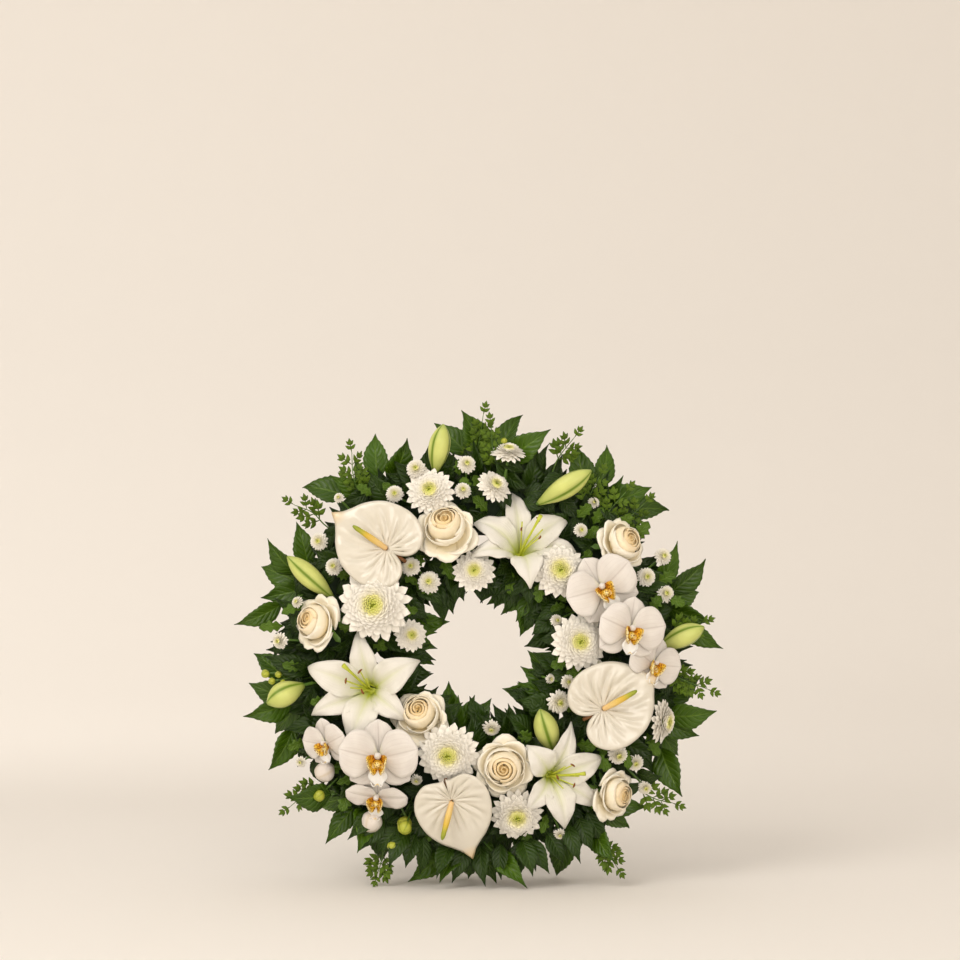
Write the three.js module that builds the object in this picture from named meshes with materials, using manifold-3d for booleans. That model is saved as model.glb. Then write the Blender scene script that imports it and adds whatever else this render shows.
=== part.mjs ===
// A memorial wreath: cut flowers and leaves pushed into a ring of wet flower foam in a plastic tray.
// Millimetres. +Z is up and the wreath's face looks along -Y. Its lowest leaves stand on z = 0.
import * as THREE from "three";
import { mergeVertices } from "three/addons/utils/BufferGeometryUtils.js";
import Module from "manifold-3d";

const wasm = await Module();
wasm.setup();

// Driving dimensions
const centreHeight = 290; // the ring's axis above the ground
const backPlane = 75; // the tray's flat back, behind the middle of the wreath
const gap = 0.35; // air left where two pieces touch
const mending = 0.04; // slivers left by a cut are closed up within this
const ringSides = 40;
const foam = { inner: 150, outer: 214, back: 3.2, shoulder: 52, front: 66 };
const tray = { clearance: 0.6, wall: 2.4, rim: 44 };
const stemDepth = 24; // how far a stem goes into the foam
const stemMargin = 14; // foam left beside a stem
const stemRise = 2; // a stem stands straight this far out of the foam before it bends
const stemSides = 5;
const neckLength = 7; // the straight end of a stem behind a head
const stemRadius = { rose: 3, mum: 2, lily: 3, lilyBud: 2.2, spray: 2, branch: 1.3, orchid: 1.8, anthurium: 2.8, sprig: 2.2 };
const stemReference = new THREE.Vector3(0.62, 0.31, 0.72); // turns every stem's sides the same way
const forward = new THREE.Vector3(0, -1, 0);
const lilyThroat = { depth: 36, radius: 14, foot: 5, lip: -12, floor: -20, thickness: 2.4 };
const orchidThickness = { petal: 2.2, lip: 5 };
const spatheThickness = 3.4;
const leafThickness = 1.8;

// The foliage sprigs: reach is from the axis, layers are distances ahead of the back.
const outer = {
  sprigs: 10, leaves: 5, start: 3, tip: [238, 51], reach: 296, spread: 13, width: 32, arch: 9,
  layers: [24, 52, 80], lowLayers: [14, 66, 116], lowShare: 50, joints: [0.62, 0.8, 1, 0.9, 0.7],
};
const inner = {
  clocks: [38, 118, 196, 284], sides: [-30, -9, 11, 31], tip: [122, 54], reach: 60, width: 29, arch: 8,
  joints: [0.5, 0.95, 0.8, 0.65],
};
const groundClearance = 0.6;

// Outlines run from base to tip as [way along, share of the full width].
const leafOutline = [[0, 0.14], [0.34, 0.96], [0.72, 0.78], [1, 0.05]];
const sepalOutline = [[0, 0.12], [0.5, 0.96], [0.8, 0.72], [1, 0.08]];
const roundOutline = [[0, 0.1], [0.42, 1], [0.82, 0.82], [1, 0.24]];
const spatheOutline = [[0, 0.34], [0.1, 0.78], [0.34, 1], [0.62, 0.78], [0.86, 0.36], [1, 0.05]];

// Profiles are half sections as [radius, height], in shares of the head's radius.
const roseProfile = [[0, -0.72], [0.34, -0.66], [0.84, -0.24], [1, 0.16], [0.86, 0.5], [0.4, 0.6], [0, 0.5]];
const mumProfile = [[0, -0.34], [0.42, -0.32], [1, -0.04], [0.94, 0.16], [0.6, 0.36], [0, 0.3]];
const buttonProfile = [[0, -0.6], [0.7, -0.4], [1, 0.06], [0, 0.5]];
const budProfile = [[0, -0.5], [0.4, -0.45], [1, 0], [0.7, 0.34], [0, 0.5]];

// A point by clock angle seen from the front, distance from the axis and distance ahead of the back.
function place([clock, reach, ahead]) {
  const a = THREE.MathUtils.degToRad(clock);
  return new THREE.Vector3(reach * Math.sin(a), backPlane - ahead, centreHeight + reach * Math.cos(a));
}

// The way a flower looks: straight ahead, leaned towards a clock angle.
function facing(clock, lean) {
  const a = THREE.MathUtils.degToRad(clock);
  const b = THREE.MathUtils.degToRad(lean);
  return new THREE.Vector3(Math.sin(b) * Math.sin(a), -Math.cos(b), Math.sin(b) * Math.cos(a));
}

// A flower's own frame: x to its right, y up and z out of its face.
function flowerFrame(centre, look) {
  const right = new THREE.Vector3().crossVectors(new THREE.Vector3(0, 0, 1), look).normalize();
  const up = new THREE.Vector3().crossVectors(look, right);
  return new THREE.Matrix4().makeBasis(right, up, look).setPosition(centre);
}

// Turns a closed geometry into a solid that faces out.
function solid(geometry, matrix = new THREE.Matrix4()) {
  const bare = geometry.clone().applyMatrix4(matrix);
  bare.deleteAttribute("normal");
  if (bare.hasAttribute("uv")) bare.deleteAttribute("uv");
  const merged = mergeVertices(bare, 1e-4);
  const index = merged.index.array;
  const kept = [];
  for (let i = 0; i < index.length; i += 3) {
    const [a, b, c] = index.slice(i, i + 3);
    if (a !== b && b !== c && c !== a) kept.push(a, b, c);
  }
  const vertProperties = merged.attributes.position.array;
  const make = (list) =>
    new wasm.Manifold(new wasm.Mesh({ numProp: 3, vertProperties, triVerts: new Uint32Array(list) }));
  const made = make(kept);
  return made.volume() > 0 ? made : make(kept.reverse());
}

// A closed skin over rings of equal point counts, with flat ends.
function loft(rings) {
  const count = rings[0].length;
  const positions = rings.flat().flatMap((p) => [p.x, p.y, p.z]);
  const index = [];
  for (let j = 0; j + 1 < rings.length; j++) {
    for (let i = 0; i < count; i++) {
      const a = j * count + i;
      const b = j * count + ((i + 1) % count);
      index.push(a, b, b + count, a, b + count, a + count);
    }
  }
  const last = (rings.length - 1) * count;
  for (let i = 1; i + 1 < count; i++) {
    index.push(0, i + 1, i, last, last + i, last + i + 1);
  }
  const geometry = new THREE.BufferGeometry();
  geometry.setAttribute("position", new THREE.Float32BufferAttribute(positions, 3));
  geometry.setIndex(index);
  geometry.computeVertexNormals();
  return geometry;
}

// A leaf or petal: a thin blade along a curved midrib, thickest on the rib and thin at its edges.
function blade({ spine, face, width, thickness, outline }, grow = 0) {
  const rings = outline.map(([t, share], j) => {
    const end = j === 0 ? -grow : j === outline.length - 1 ? grow : 0;
    const along = spine.getTangent(t);
    const centre = spine.getPoint(t).addScaledVector(along, end);
    const side = new THREE.Vector3().crossVectors(along, face).normalize();
    const out = new THREE.Vector3().crossVectors(side, along).normalize();
    const across = (width / 2) * share + grow * 2;
    const thick = thickness / 2 + grow;
    return [
      centre.clone().addScaledVector(side, -across),
      centre.clone().addScaledVector(out, -thick),
      centre.clone().addScaledVector(side, across),
      centre.clone().addScaledVector(out, thick),
    ];
  });
  return loft(rings);
}

// A round solid about its own z axis from a half section.
function turned(profile, radius, sides, grow = 0) {
  const points = profile.map(([r, h], i) => {
    const before = profile[Math.max(0, i - 1)];
    const after = profile[Math.min(profile.length - 1, i + 1)];
    const way = new THREE.Vector2(after[0] - before[0], after[1] - before[1]).normalize();
    const onAxis = r === 0;
    const x = onAxis ? 0 : r * radius + grow * way.y;
    const y = h * radius + (onAxis ? Math.sign(i - 0.5) * grow : -grow * way.x);
    return new THREE.Vector2(x, y);
  });
  return new THREE.LatheGeometry(points, sides).rotateX(Math.PI / 2);
}

// A stem as a five-sided tube through a few points.
function stem(points, radius, grow = 0) {
  const last = points.length - 1;
  const rings = points.map((point, j) => {
    const along = points[Math.min(j + 1, last)].clone().sub(points[Math.max(j - 1, 0)]).normalize();
    const side = new THREE.Vector3().crossVectors(along, stemReference).normalize();
    const out = new THREE.Vector3().crossVectors(side, along);
    const centre = point.clone().addScaledVector(along, j === 0 ? -grow : j === last ? grow : 0);
    return [...Array(stemSides).keys()].map((i) => {
      const a = (i / stemSides) * 2 * Math.PI;
      const r = radius + grow / Math.cos(Math.PI / stemSides);
      return centre.clone().addScaledVector(side, r * Math.cos(a)).addScaledVector(out, r * Math.sin(a));
    });
  });
  return loft(rings);
}

function join(solids) {
  return solids.reduce((all, one) => all.add(one));
}

// Where a flower's stem starts, inside the foam behind its head.
function rootOf({ at: [clock, reach], root = [clock, reach] }) {
  const within = THREE.MathUtils.clamp(root[1], foam.inner + stemMargin, foam.outer - stemMargin);
  return place([root[0], within, foam.front - stemDepth]);
}

// A point straight ahead of a stem's start, just out of the foam.
function riseFrom(start) {
  return start.clone().setY(backPlane - foam.front - stemRise);
}

// A stem from the foam to the back of a head.
function stemTo(head, flower, radius, grow) {
  const neck = head.clone().addScaledVector(facing(flower.leanTo, flower.lean), -neckLength);
  const root = rootOf(flower);
  return solid(stem([root, riseFrom(root), neck, head], radius, grow));
}

function headOf(flower) {
  const look = facing(flower.leanTo, flower.lean);
  const centre = place(flower.at);
  return { centre, look, frame: flowerFrame(centre, look) };
}

// A blade in a flower's own frame: it leaves the axis at an angle (clockwise from up) through
// [radius, height] stations, bent over the middle one.
function petal(angle, stations, width, thickness, outline, grow) {
  const a = THREE.MathUtils.degToRad(angle);
  const points = stations.map(([r, h]) => new THREE.Vector3(r * Math.sin(a), r * Math.cos(a), h));
  const spine = new THREE.QuadraticBezierCurve3(...points);
  return blade({ spine, face: new THREE.Vector3(0, 0, 1), width, thickness, outline }, grow);
}

function roundHead(flower, profile, sides, thickness, grow) {
  const { centre, look, frame } = headOf(flower);
  const radius = flower.size / 2;
  const depth = radius * profile[0][1];
  const neck = centre.clone().addScaledVector(look, depth * 0.8);
  const head = solid(turned(profile, radius, sides, grow), frame);
  return head.add(stemTo(neck, flower, thickness, grow));
}

const rose = (flower, grow) => roundHead(flower, roseProfile, 11, stemRadius.rose, grow);
const mum = (flower, grow) => roundHead(flower, mumProfile, 12, stemRadius.mum, grow);

// Six reflexed petals on a tapering throat.
function lily(flower, grow) {
  const { centre, look, frame } = headOf(flower);
  const radius = flower.size / 2;
  const { depth, foot, lip, floor, thickness } = lilyThroat;
  const petals = [0, 1, 2, 3, 4, 5].map((i) => {
    const inner = i % 2;
    const stations = [[8, -24], [radius * 0.5, 34 - 3 * inner], [radius, -8 - 4 * inner]];
    const width = radius * (inner ? 0.56 : 0.46);
    return solid(petal(flower.turn + 60 * i, stations, width, thickness, sepalOutline, grow), frame);
  });
  const cup = [[0, -depth], [foot, -depth], [lilyThroat.radius, lip], [0, floor]];
  const tube = solid(turned(cup, 1, 8, grow), frame);
  const neck = centre.clone().addScaledVector(look, 4 - depth);
  return join([tube, ...petals, stemTo(neck, flower, stemRadius.lily, grow)]);
}

// A closed lily bud on a stem that follows the bud's own line.
function lilyBud({ base, tip, size, root }, grow) {
  const from = place(base);
  const to = place(tip);
  const along = to.clone().sub(from);
  const length = along.length();
  const middle = from.clone().add(to).multiplyScalar(0.5);
  const scaled = budProfile.map(([r, h]) => [(r * size) / 2, h * length]);
  const frame = flowerFrame(middle, along.clone().normalize());
  const bud = solid(turned(scaled, 1, 9, grow), frame);
  const start = rootOf({ at: base, root });
  const end = from.clone().addScaledVector(along, 0.12);
  return bud.add(solid(stem([start, riseFrom(start), from, end], stemRadius.lilyBud, grow)));
}

// A spray: one stem in the foam that forks to several small heads.
function spray({ root, heads }, grow) {
  const start = rootOf({ at: root });
  const fork = place([root[0], root[1], foam.front + 8]);
  const trunk = solid(stem([start, fork], stemRadius.spray, grow));
  const parts = heads.map(([clock, reach, ahead, size]) => {
    const centre = place([clock, reach, ahead]);
    const look = facing(clock, 22);
    const head = solid(turned(buttonProfile, size / 2, 8, grow), flowerFrame(centre, look));
    const neck = centre.clone().addScaledVector(look, -size * 0.26);
    const bend = fork.clone().lerp(neck, 0.6).addScaledVector(look, -5);
    return head.add(solid(stem([fork.clone().lerp(start, 0.1), bend, neck], stemRadius.branch, grow)));
  });
  return join([trunk, ...parts]);
}

// Two broad petals, three sepals and a small lip round a short column.
function orchid(flower, grow) {
  const { centre, look, frame } = headOf(flower);
  const radius = flower.size / 2;
  const squash = flower.squash ?? 1;
  const made = [0, 128, 232].map((angle) => {
    const stations = [[5, -3], [radius * 0.5, 2], [radius * 0.92 * (angle ? 1 : squash), -4]];
    return solid(petal(flower.turn + angle, stations, radius * 0.62, orchidThickness.petal, sepalOutline, grow), frame);
  });
  for (const angle of [72, 288]) {
    const stations = [[5, 1], [radius * 0.5, 8], [radius, 2]];
    const width = radius * 1.02 * squash;
    made.push(solid(petal(flower.turn + angle, stations, width, orchidThickness.petal, roundOutline, grow), frame));
  }
  const lipStations = [[4, 4], [radius * 0.24, 14], [radius * 0.46, 12]];
  made.push(solid(petal(flower.turn + 180, lipStations, radius * 0.34, orchidThickness.lip, roundOutline, grow), frame));
  made.push(solid(turned([[0, -5], [6, -5], [7, 3], [0, 8]], 1, 7, grow), frame));
  const neck = centre.clone().addScaledVector(look, -3);
  return join([...made, stemTo(neck, flower, stemRadius.orchid, grow)]);
}

// A heart-shaped spathe with its spadix standing over it.
function anthurium(flower, grow) {
  const from = place(flower.base);
  const to = place(flower.tip);
  const look = facing(flower.leanTo, flower.lean);
  const along = to.clone().sub(from).normalize();
  const back = from.clone().addScaledVector(along, -flower.lobe);
  const middle = back.clone().lerp(to, 0.45).addScaledVector(look, 7);
  const spine = new THREE.QuadraticBezierCurve3(back, middle, to);
  const spathe = blade({ spine, face: look, width: flower.width, thickness: spatheThickness, outline: spatheOutline }, grow);
  const lift = along.clone().multiplyScalar(0.9).addScaledVector(look, 0.44).normalize();
  const length = flower.spadix;
  const spadixProfile = [[0, 0], [3.6, 0], [4.8, length * 0.3], [3.2, length * 0.9], [0, length]];
  const spadix = solid(turned(spadixProfile, 1, 8, grow), flowerFrame(from, lift));
  const hub = solid(turned([[0, -3], [6, -3], [5, 6], [0, 7]], 1, 8, grow), flowerFrame(from, look));
  return join([solid(spathe), spadix, hub, stemTo(from, { ...flower, at: flower.base }, stemRadius.anthurium, grow)]);
}

// A sprig of leaves: a short stem in the foam and leaves that fan out from it.
function sprig({ root, tip, leaves }, grow) {
  const start = place(root);
  const end = place(tip);
  const path = new THREE.LineCurve3(start, end);
  const parts = [solid(stem([start, end], stemRadius.sprig, grow))];
  for (const { from, to, width, arch } of leaves) {
    const base = path.getPoint(from);
    const point = place(to);
    const middle = base.clone().lerp(point, 0.5).addScaledVector(forward, arch);
    const spine = new THREE.QuadraticBezierCurve3(base, middle, point);
    parts.push(solid(blade({ spine, face: forward, width, thickness: leafThickness, outline: leafOutline }, grow)));
  }
  return join(parts);
}

// How far a leaf reaches at a clock angle: its own reach, or less where it meets the ground.
function reachAt(clock, reach) {
  const fall = -Math.cos(THREE.MathUtils.degToRad(clock));
  const ground = centreHeight - groundClearance;
  return fall > 0 ? Math.min(reach, ground / fall) : reach;
}

// The outer foliage, one sprig in each share of the circle, with its leaves in three layers.
function outerSprig(i, grow) {
  const share = 360 / outer.sprigs;
  const clock = share * i + outer.start;
  const low = Math.abs(clock - 180) < outer.lowShare;
  const layers = low ? outer.lowLayers : outer.layers;
  const leaves = outer.joints.map((from, k) => {
    const order = i * outer.leaves + k;
    const angle = clock + ((k - (outer.leaves - 1) / 2) * share) / outer.leaves;
    const reach = outer.reach + outer.spread * Math.sin(order * 2.4);
    return {
      from,
      to: [angle, reachAt(angle, reach), layers[(order * 2) % 3]],
      width: outer.width + 4 * Math.sin(order * 1.7),
      arch: outer.arch,
    };
  });
  return sprig({ root: [clock, foam.outer - 18, foam.shoulder - 1], tip: [clock, ...outer.tip], leaves }, grow);
}

// The inner foliage: leaves over the inner rim that point into the hole.
function innerSprig(clock, grow) {
  const leaves = inner.sides.map((side, k) => ({
    from: inner.joints[k],
    to: [clock + side, inner.reach - 6 * (k % 2), 52 + 9 * (k % 3)],
    width: inner.width,
    arch: inner.arch,
  }));
  return sprig({ root: [clock, foam.inner + 18, foam.shoulder], tip: [clock, ...inner.tip], leaves }, grow);
}

// The foam is a crowned ring; the tray is a shallow channel under it.
function foamRing() {
  const { back, shoulder, front } = foam;
  const crown = (foam.outer - foam.inner) * 0.2;
  const section = [
    [foam.inner, back], [foam.outer, back], [foam.outer, shoulder], [foam.outer - crown, front],
    [foam.inner + crown, front], [foam.inner, shoulder], [foam.inner, back],
  ];
  return ring(section);
}

function trayRing() {
  const { clearance, wall, rim } = tray;
  const floor = foam.back - clearance;
  const inside = foam.inner - clearance;
  const outside = foam.outer + clearance;
  const section = [
    [inside - wall, 0], [outside + wall, 0], [outside + wall, rim], [outside, rim],
    [outside, floor], [inside, floor], [inside, rim], [inside - wall, rim], [inside - wall, 0],
  ];
  return ring(section);
}

// A section of [radius, ahead] points turned once round the wreath's axis.
function ring(section) {
  const points = section.map(([r, ahead]) => new THREE.Vector2(r, ahead));
  const geometry = new THREE.LatheGeometry(points, ringSides).rotateX(Math.PI);
  return solid(geometry, new THREE.Matrix4().makeTranslation(0, backPlane, centreHeight));
}

// The arrangement. Every place is [clock angle, reach, ahead].
const roses = [
  { at: [345, 159, 122], size: 74, lean: 14, leanTo: 340 },
  { at: [281, 208, 112], size: 67, lean: 40, leanTo: 280 },
  { at: [52, 225, 110], size: 66, lean: 40, leanTo: 58 },
  { at: [168, 141, 122], size: 73, lean: 8, leanTo: 200 },
  { at: [136, 242, 104], size: 62, lean: 42, leanTo: 100 },
  { at: [224, 107, 116], size: 68, lean: 14, leanTo: 300 },
];

const lilies = [
  { at: [21, 144, 108], size: 138, lean: 34, leanTo: 10, turn: -2 },
  { at: [149, 175, 112], size: 130, lean: 14, leanTo: 90, turn: 18 },
  { at: [253, 145, 112], size: 148, lean: 10, leanTo: 300, turn: -14 },
];

const lilyBuds = [
  { base: [346, 232, 84], tip: [351, 290, 94], size: 27 },
  { base: [291, 197, 84], tip: [297, 269, 96], size: 26 },
  { base: [21, 201, 96], tip: [31, 267, 112], size: 28 },
  { base: [88, 225, 80], tip: [83, 281, 95], size: 28 },
  { base: [143, 153, 86], tip: [132, 100, 110], size: 30 },
  { base: [260, 223, 84], tip: [257, 272, 95], size: 32 },
];

const mums = [
  { at: [343, 213, 108], size: 62, lean: 20, leanTo: 343 },
  { at: [296, 145, 130], size: 92, lean: 8, leanTo: 290 },
  { at: [356, 105, 110], size: 54, lean: 10, leanTo: 0 },
  { at: [8, 255, 88], size: 45, lean: 62, leanTo: 5 },
  { at: [5, 211, 100], size: 46, lean: 40, leanTo: 40 },
  { at: [43, 144, 118], size: 69, lean: 12, leanTo: 40 },
  { at: [82, 124, 118], size: 72, lean: 8, leanTo: 60 },
  { at: [110, 243, 98], size: 56, lean: 62, leanTo: 95 },
  { at: [167, 204, 108], size: 67, lean: 16, leanTo: 170 },
  { at: [198, 127, 124], size: 79, lean: 8, leanTo: 200 },
  { at: [286, 89, 106], size: 42, lean: 16, leanTo: 60 },
];

const sprays = [
  { root: [337, 200], heads: [[341, 244, 95, 28], [332, 226, 95, 25]] },
  { root: [355, 200], heads: [[356, 237, 95, 26], [354, 205, 100, 24]] },
  { root: [303, 200], heads: [[305, 245, 86, 26], [301, 212, 94, 25]] },
  { root: [66, 200], heads: [[62, 259, 80, 25], [65, 228, 95, 27], [72, 243, 86, 26]] },
  { root: [106, 166], heads: [[107, 114, 100, 20], [121, 114, 98, 33], [95, 145, 100, 19]] },
  { root: [127, 198], heads: [[126, 212, 98, 28], [125, 236, 90, 24], [129, 266, 80, 21], [126, 178, 95, 17]] },
  { root: [323, 166], heads: [[322, 139, 104, 27], [325, 110, 104, 32]] },
  { root: [38, 200], heads: [[39, 199, 96, 20], [37, 236, 82, 17]] },
];

const orchids = [
  { at: [61, 172, 122], size: 86, lean: 8, leanTo: 90, turn: -30 },
  { at: [80, 187, 130], size: 81, lean: 14, leanTo: 100, turn: 10 },
  { at: [93, 214, 112], size: 69, lean: 24, leanTo: 95, turn: 20 },
  { at: [225, 176, 130], size: 92, lean: 8, leanTo: 220, turn: 0 },
  { at: [240, 219, 112], size: 62, lean: 34, leanTo: 250, turn: -10 },
  { at: [216, 216, 110], size: 74, lean: 30, leanTo: 200, turn: 6, squash: 0.62 },
];

const orchidTip = {
  root: [222, 200],
  heads: [[233, 242, 98, 26], [213, 248, 98, 28], [229, 266, 80, 16], [204, 231, 92, 19]],
};

const anthuriums = [
  { base: [319, 176, 126], tip: [314, 255, 118], lobe: 24, width: 104, spadix: 52, lean: 14, leanTo: 320 },
  { base: [113, 165, 128], tip: [96, 221, 122], lobe: 26, width: 104, spadix: 50, lean: 10, leanTo: 60 },
  { base: [191, 182, 126], tip: [182, 253, 112], lobe: 24, width: 92, spadix: 48, lean: 16, leanTo: 180 },
];

const finishes = {
  cream: { color: 0xeadfc9, roughness: 0.32, metalness: 0 },
  rosePetal: { color: 0xf6ecd2, roughness: 0.6, metalness: 0 },
  whitePetal: { color: 0xf5f1ea, roughness: 0.55, metalness: 0 },
  paleBud: { color: 0xdfe3a8, roughness: 0.5, metalness: 0 },
  leaf: { color: 0x255012, roughness: 0.38, metalness: 0 },
  foam: { color: 0x2f5a3a, roughness: 0.95, metalness: 0 },
  trayPlastic: { color: 0x22332a, roughness: 0.45, metalness: 0 },
};

// Every piece with its name, its finish and the function that makes it, front ones first.
const pieces = [];
function addPieces(name, list, finish, make) {
  list.forEach((item, i) => {
    pieces.push({ name: `${name}_${i + 1}`, finish, make: (grow) => make(item, grow) });
  });
}
addPieces("anthurium", anthuriums, "cream", anthurium);
addPieces("rose", roses, "rosePetal", rose);
addPieces("chrysanthemum", mums, "whitePetal", mum);
addPieces("orchid", orchids, "whitePetal", orchid);
addPieces("lily", lilies, "whitePetal", lily);
addPieces("lily_bud", lilyBuds, "paleBud", lilyBud);
addPieces("button_spray", sprays, "whitePetal", spray);
addPieces("orchid_tip", [orchidTip], "paleBud", spray);
addPieces("outer_foliage", [...Array(outer.sprigs).keys()], "leaf", outerSprig);
addPieces("inner_foliage", inner.clocks, "leaf", innerSprig);
pieces.push({ name: "foam_ring", finish: "foam", make: foamRing });
pieces.push({ name: "tray_ring", finish: "trayPlastic", make: trayRing });

// What is left of a body once the pieces before it have pushed it aside.
function largest(body) {
  return body.decompose().sort((a, b) => b.volume() - a.volume())[0];
}

function boxesMeet(a, b) {
  return [0, 1, 2].every((i) => a.min[i] < b.max[i] && b.min[i] < a.max[i]);
}

const placed = [];
const wreath = new THREE.Group();
for (const { name, finish, make } of pieces) {
  let body = make(0);
  const box = body.boundingBox();
  for (const other of placed) {
    if (!boxesMeet(box, other.box)) continue;
    if (body.intersect(other.grown).volume() > 0) body = body.subtract(other.grown);
  }
  body = largest(body.simplify(mending));
  const grown = make(gap);
  placed.push({ grown, box: grown.boundingBox() });
  const { numProp, vertProperties, triVerts } = body.getMesh();
  const geometry = new THREE.BufferGeometry();
  geometry.setAttribute("position", new THREE.BufferAttribute(vertProperties, numProp));
  geometry.setIndex(new THREE.BufferAttribute(triVerts, 1));
  geometry.computeVertexNormals();
  const mesh = new THREE.Mesh(geometry, new THREE.MeshStandardMaterial(finishes[finish]));
  mesh.name = name;
  wreath.add(mesh);
}

export default wreath;
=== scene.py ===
# A memorial wreath of white and cream flowers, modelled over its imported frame.
import math
import random

import bpy
import numpy as np
from mathutils import Matrix, Vector


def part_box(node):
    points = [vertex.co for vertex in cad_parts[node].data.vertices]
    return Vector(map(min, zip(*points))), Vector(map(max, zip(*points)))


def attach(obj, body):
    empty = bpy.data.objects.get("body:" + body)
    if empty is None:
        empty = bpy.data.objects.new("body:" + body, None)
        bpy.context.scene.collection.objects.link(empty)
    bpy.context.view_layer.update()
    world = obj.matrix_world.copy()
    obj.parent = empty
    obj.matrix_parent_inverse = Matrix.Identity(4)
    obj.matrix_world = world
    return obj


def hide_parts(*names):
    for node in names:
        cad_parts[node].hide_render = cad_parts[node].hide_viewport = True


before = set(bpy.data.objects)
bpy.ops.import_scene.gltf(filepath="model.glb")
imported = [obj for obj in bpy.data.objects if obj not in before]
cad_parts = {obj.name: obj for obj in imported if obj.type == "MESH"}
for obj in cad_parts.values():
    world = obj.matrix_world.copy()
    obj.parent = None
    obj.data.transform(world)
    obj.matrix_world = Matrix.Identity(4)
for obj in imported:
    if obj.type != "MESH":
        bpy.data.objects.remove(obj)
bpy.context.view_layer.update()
dice = random.Random(11)
mm = 0.001
golden = 137.508  # the turn between one petal or leaf and the next
still = Matrix.Identity(4)
front = Vector((0, -1, 0))

# Everything is laid out from the tray: its axis and its flat back, in millimetres.
trayLow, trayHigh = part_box("tray_ring")
backPlane = trayHigh.y / mm
centreHeight = (trayLow.z + trayHigh.z) / 2 / mm
foamLow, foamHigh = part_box("foam_ring")
foamOuter = foamHigh.x / mm
foamWidth = 64
foamInner = foamOuter - foamWidth
foamFront = backPlane - foamLow.y / mm


def say(text):
    print("wreath:", text, flush=True)


def wobble(amount):
    return dice.uniform(-amount, amount)


# Places.

def place(clock, reach, ahead):  # clockwise from the top, seen from the front
    a = math.radians(clock)
    return Vector((reach * math.sin(a), backPlane - ahead, centreHeight + reach * math.cos(a)))


def facing(clock, lean):
    a, b = math.radians(clock), math.radians(lean)
    return Vector((math.sin(b) * math.sin(a), -math.cos(b), math.sin(b) * math.cos(a)))


def flowerFrame(centre, look, turn=0.0, size=1.0):  # x right, y up, z out of the face
    right = Vector((0, 0, 1)).cross(look).normalized()
    up = look.cross(right)
    turned = Matrix((right, up, look)).transposed().to_4x4()
    spin = Matrix.Rotation(-math.radians(turn), 4, "Z")
    return Matrix.Translation(centre) @ turned @ spin @ Matrix.Scale(size, 4)


def headAt(clock, reach, ahead, size, lean, leanTo, turn=0):  # a centre, where it looks and the frame there
    look = facing(leanTo, lean)
    centre = place(clock, reach, ahead)
    return centre, look, flowerFrame(centre, look, turn, size)


def along(base, tip, face, width=1.0):  # y runs from base to tip, z looks towards face
    way = tip - base
    length = way.length
    y = way / length
    x = y.cross(face).normalized()
    z = x.cross(y)
    turned = Matrix((x, y, z)).transposed().to_4x4()
    return Matrix.Translation(base) @ turned @ Matrix.Diagonal((width, length, length, 1))


def petalPlace(turn, base, rise, tilt, width, length, roll=0.0):  # turned clockwise, tilted from the axis
    return (Matrix.Rotation(-math.radians(turn), 4, "Z") @ Matrix.Translation((0, base, rise))
            @ Matrix.Rotation(math.radians(90 - tilt), 4, "X") @ Matrix.Rotation(math.radians(roll), 4, "Y")
            @ Matrix.Diagonal((width, length, length, 1)))


def onHead(head, copies):
    return [(model, head @ spot, tone) for model, spot, tone in copies]


def jitter(amount):  # roughly forwards
    return Vector((wobble(amount), -1, wobble(amount)))


# Modelling.

def readPoints(mesh):
    flat = np.empty(len(mesh.vertices) * 3)
    mesh.vertices.foreach_get("co", flat)
    return flat.reshape(-1, 3)


def grab(piece):  # a finished mesh as plain arrays, so that copies can be laid out
    mesh = piece.data
    loops = np.empty(len(mesh.loops), np.int32)
    mesh.loops.foreach_get("vertex_index", loops)
    starts = np.empty(len(mesh.polygons), np.int32)
    mesh.polygons.foreach_get("loop_start", starts)
    uv = np.empty(len(mesh.loops) * 2)
    mesh.uv_layers.active.data.foreach_get("uv", uv)
    model = {"points": readPoints(mesh), "loops": loops, "starts": starts, "uv": uv.reshape(-1, 2)}
    bpy.data.objects.remove(piece)
    bpy.data.meshes.remove(mesh)
    return model


def stack(x, y, z):
    return np.stack(np.broadcast_arrays(x, y, z), axis=1)


def grid(across, rows, shape):  # shape maps (side, way) to a point
    bpy.ops.object.select_all(action="DESELECT")
    bpy.ops.mesh.primitive_grid_add(x_subdivisions=across, y_subdivisions=rows, size=2)
    piece = bpy.context.object
    flat = readPoints(piece.data)
    piece.data.vertices.foreach_set("co", shape(flat[:, 0], (flat[:, 1] + 1) / 2).ravel())
    piece.data.update()
    return piece


def sheet(across, rows, shape, thickness):  # a thin closed petal or leaf
    piece = grid(across, rows, shape)
    wall = piece.modifiers.new("wall", "SOLIDIFY")
    wall.thickness = thickness
    wall.offset = 0
    bpy.ops.object.modifier_apply(modifier=wall.name)
    return grab(piece)


def sortFaces(model):  # the sphere's faces come in another order each run, and here always in the same
    ends = np.append(model["starts"][1:], len(model["loops"]))
    faces = [np.arange(start, end) for start, end in zip(model["starts"], ends)]
    faces.sort(key=lambda corners: sorted(model["loops"][corners]))
    order = np.concatenate(faces)
    model["starts"] = np.cumsum([0] + [len(corners) for corners in faces[:-1]])
    model["loops"], model["uv"] = model["loops"][order], model["uv"][order]


blanks = {}


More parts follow.
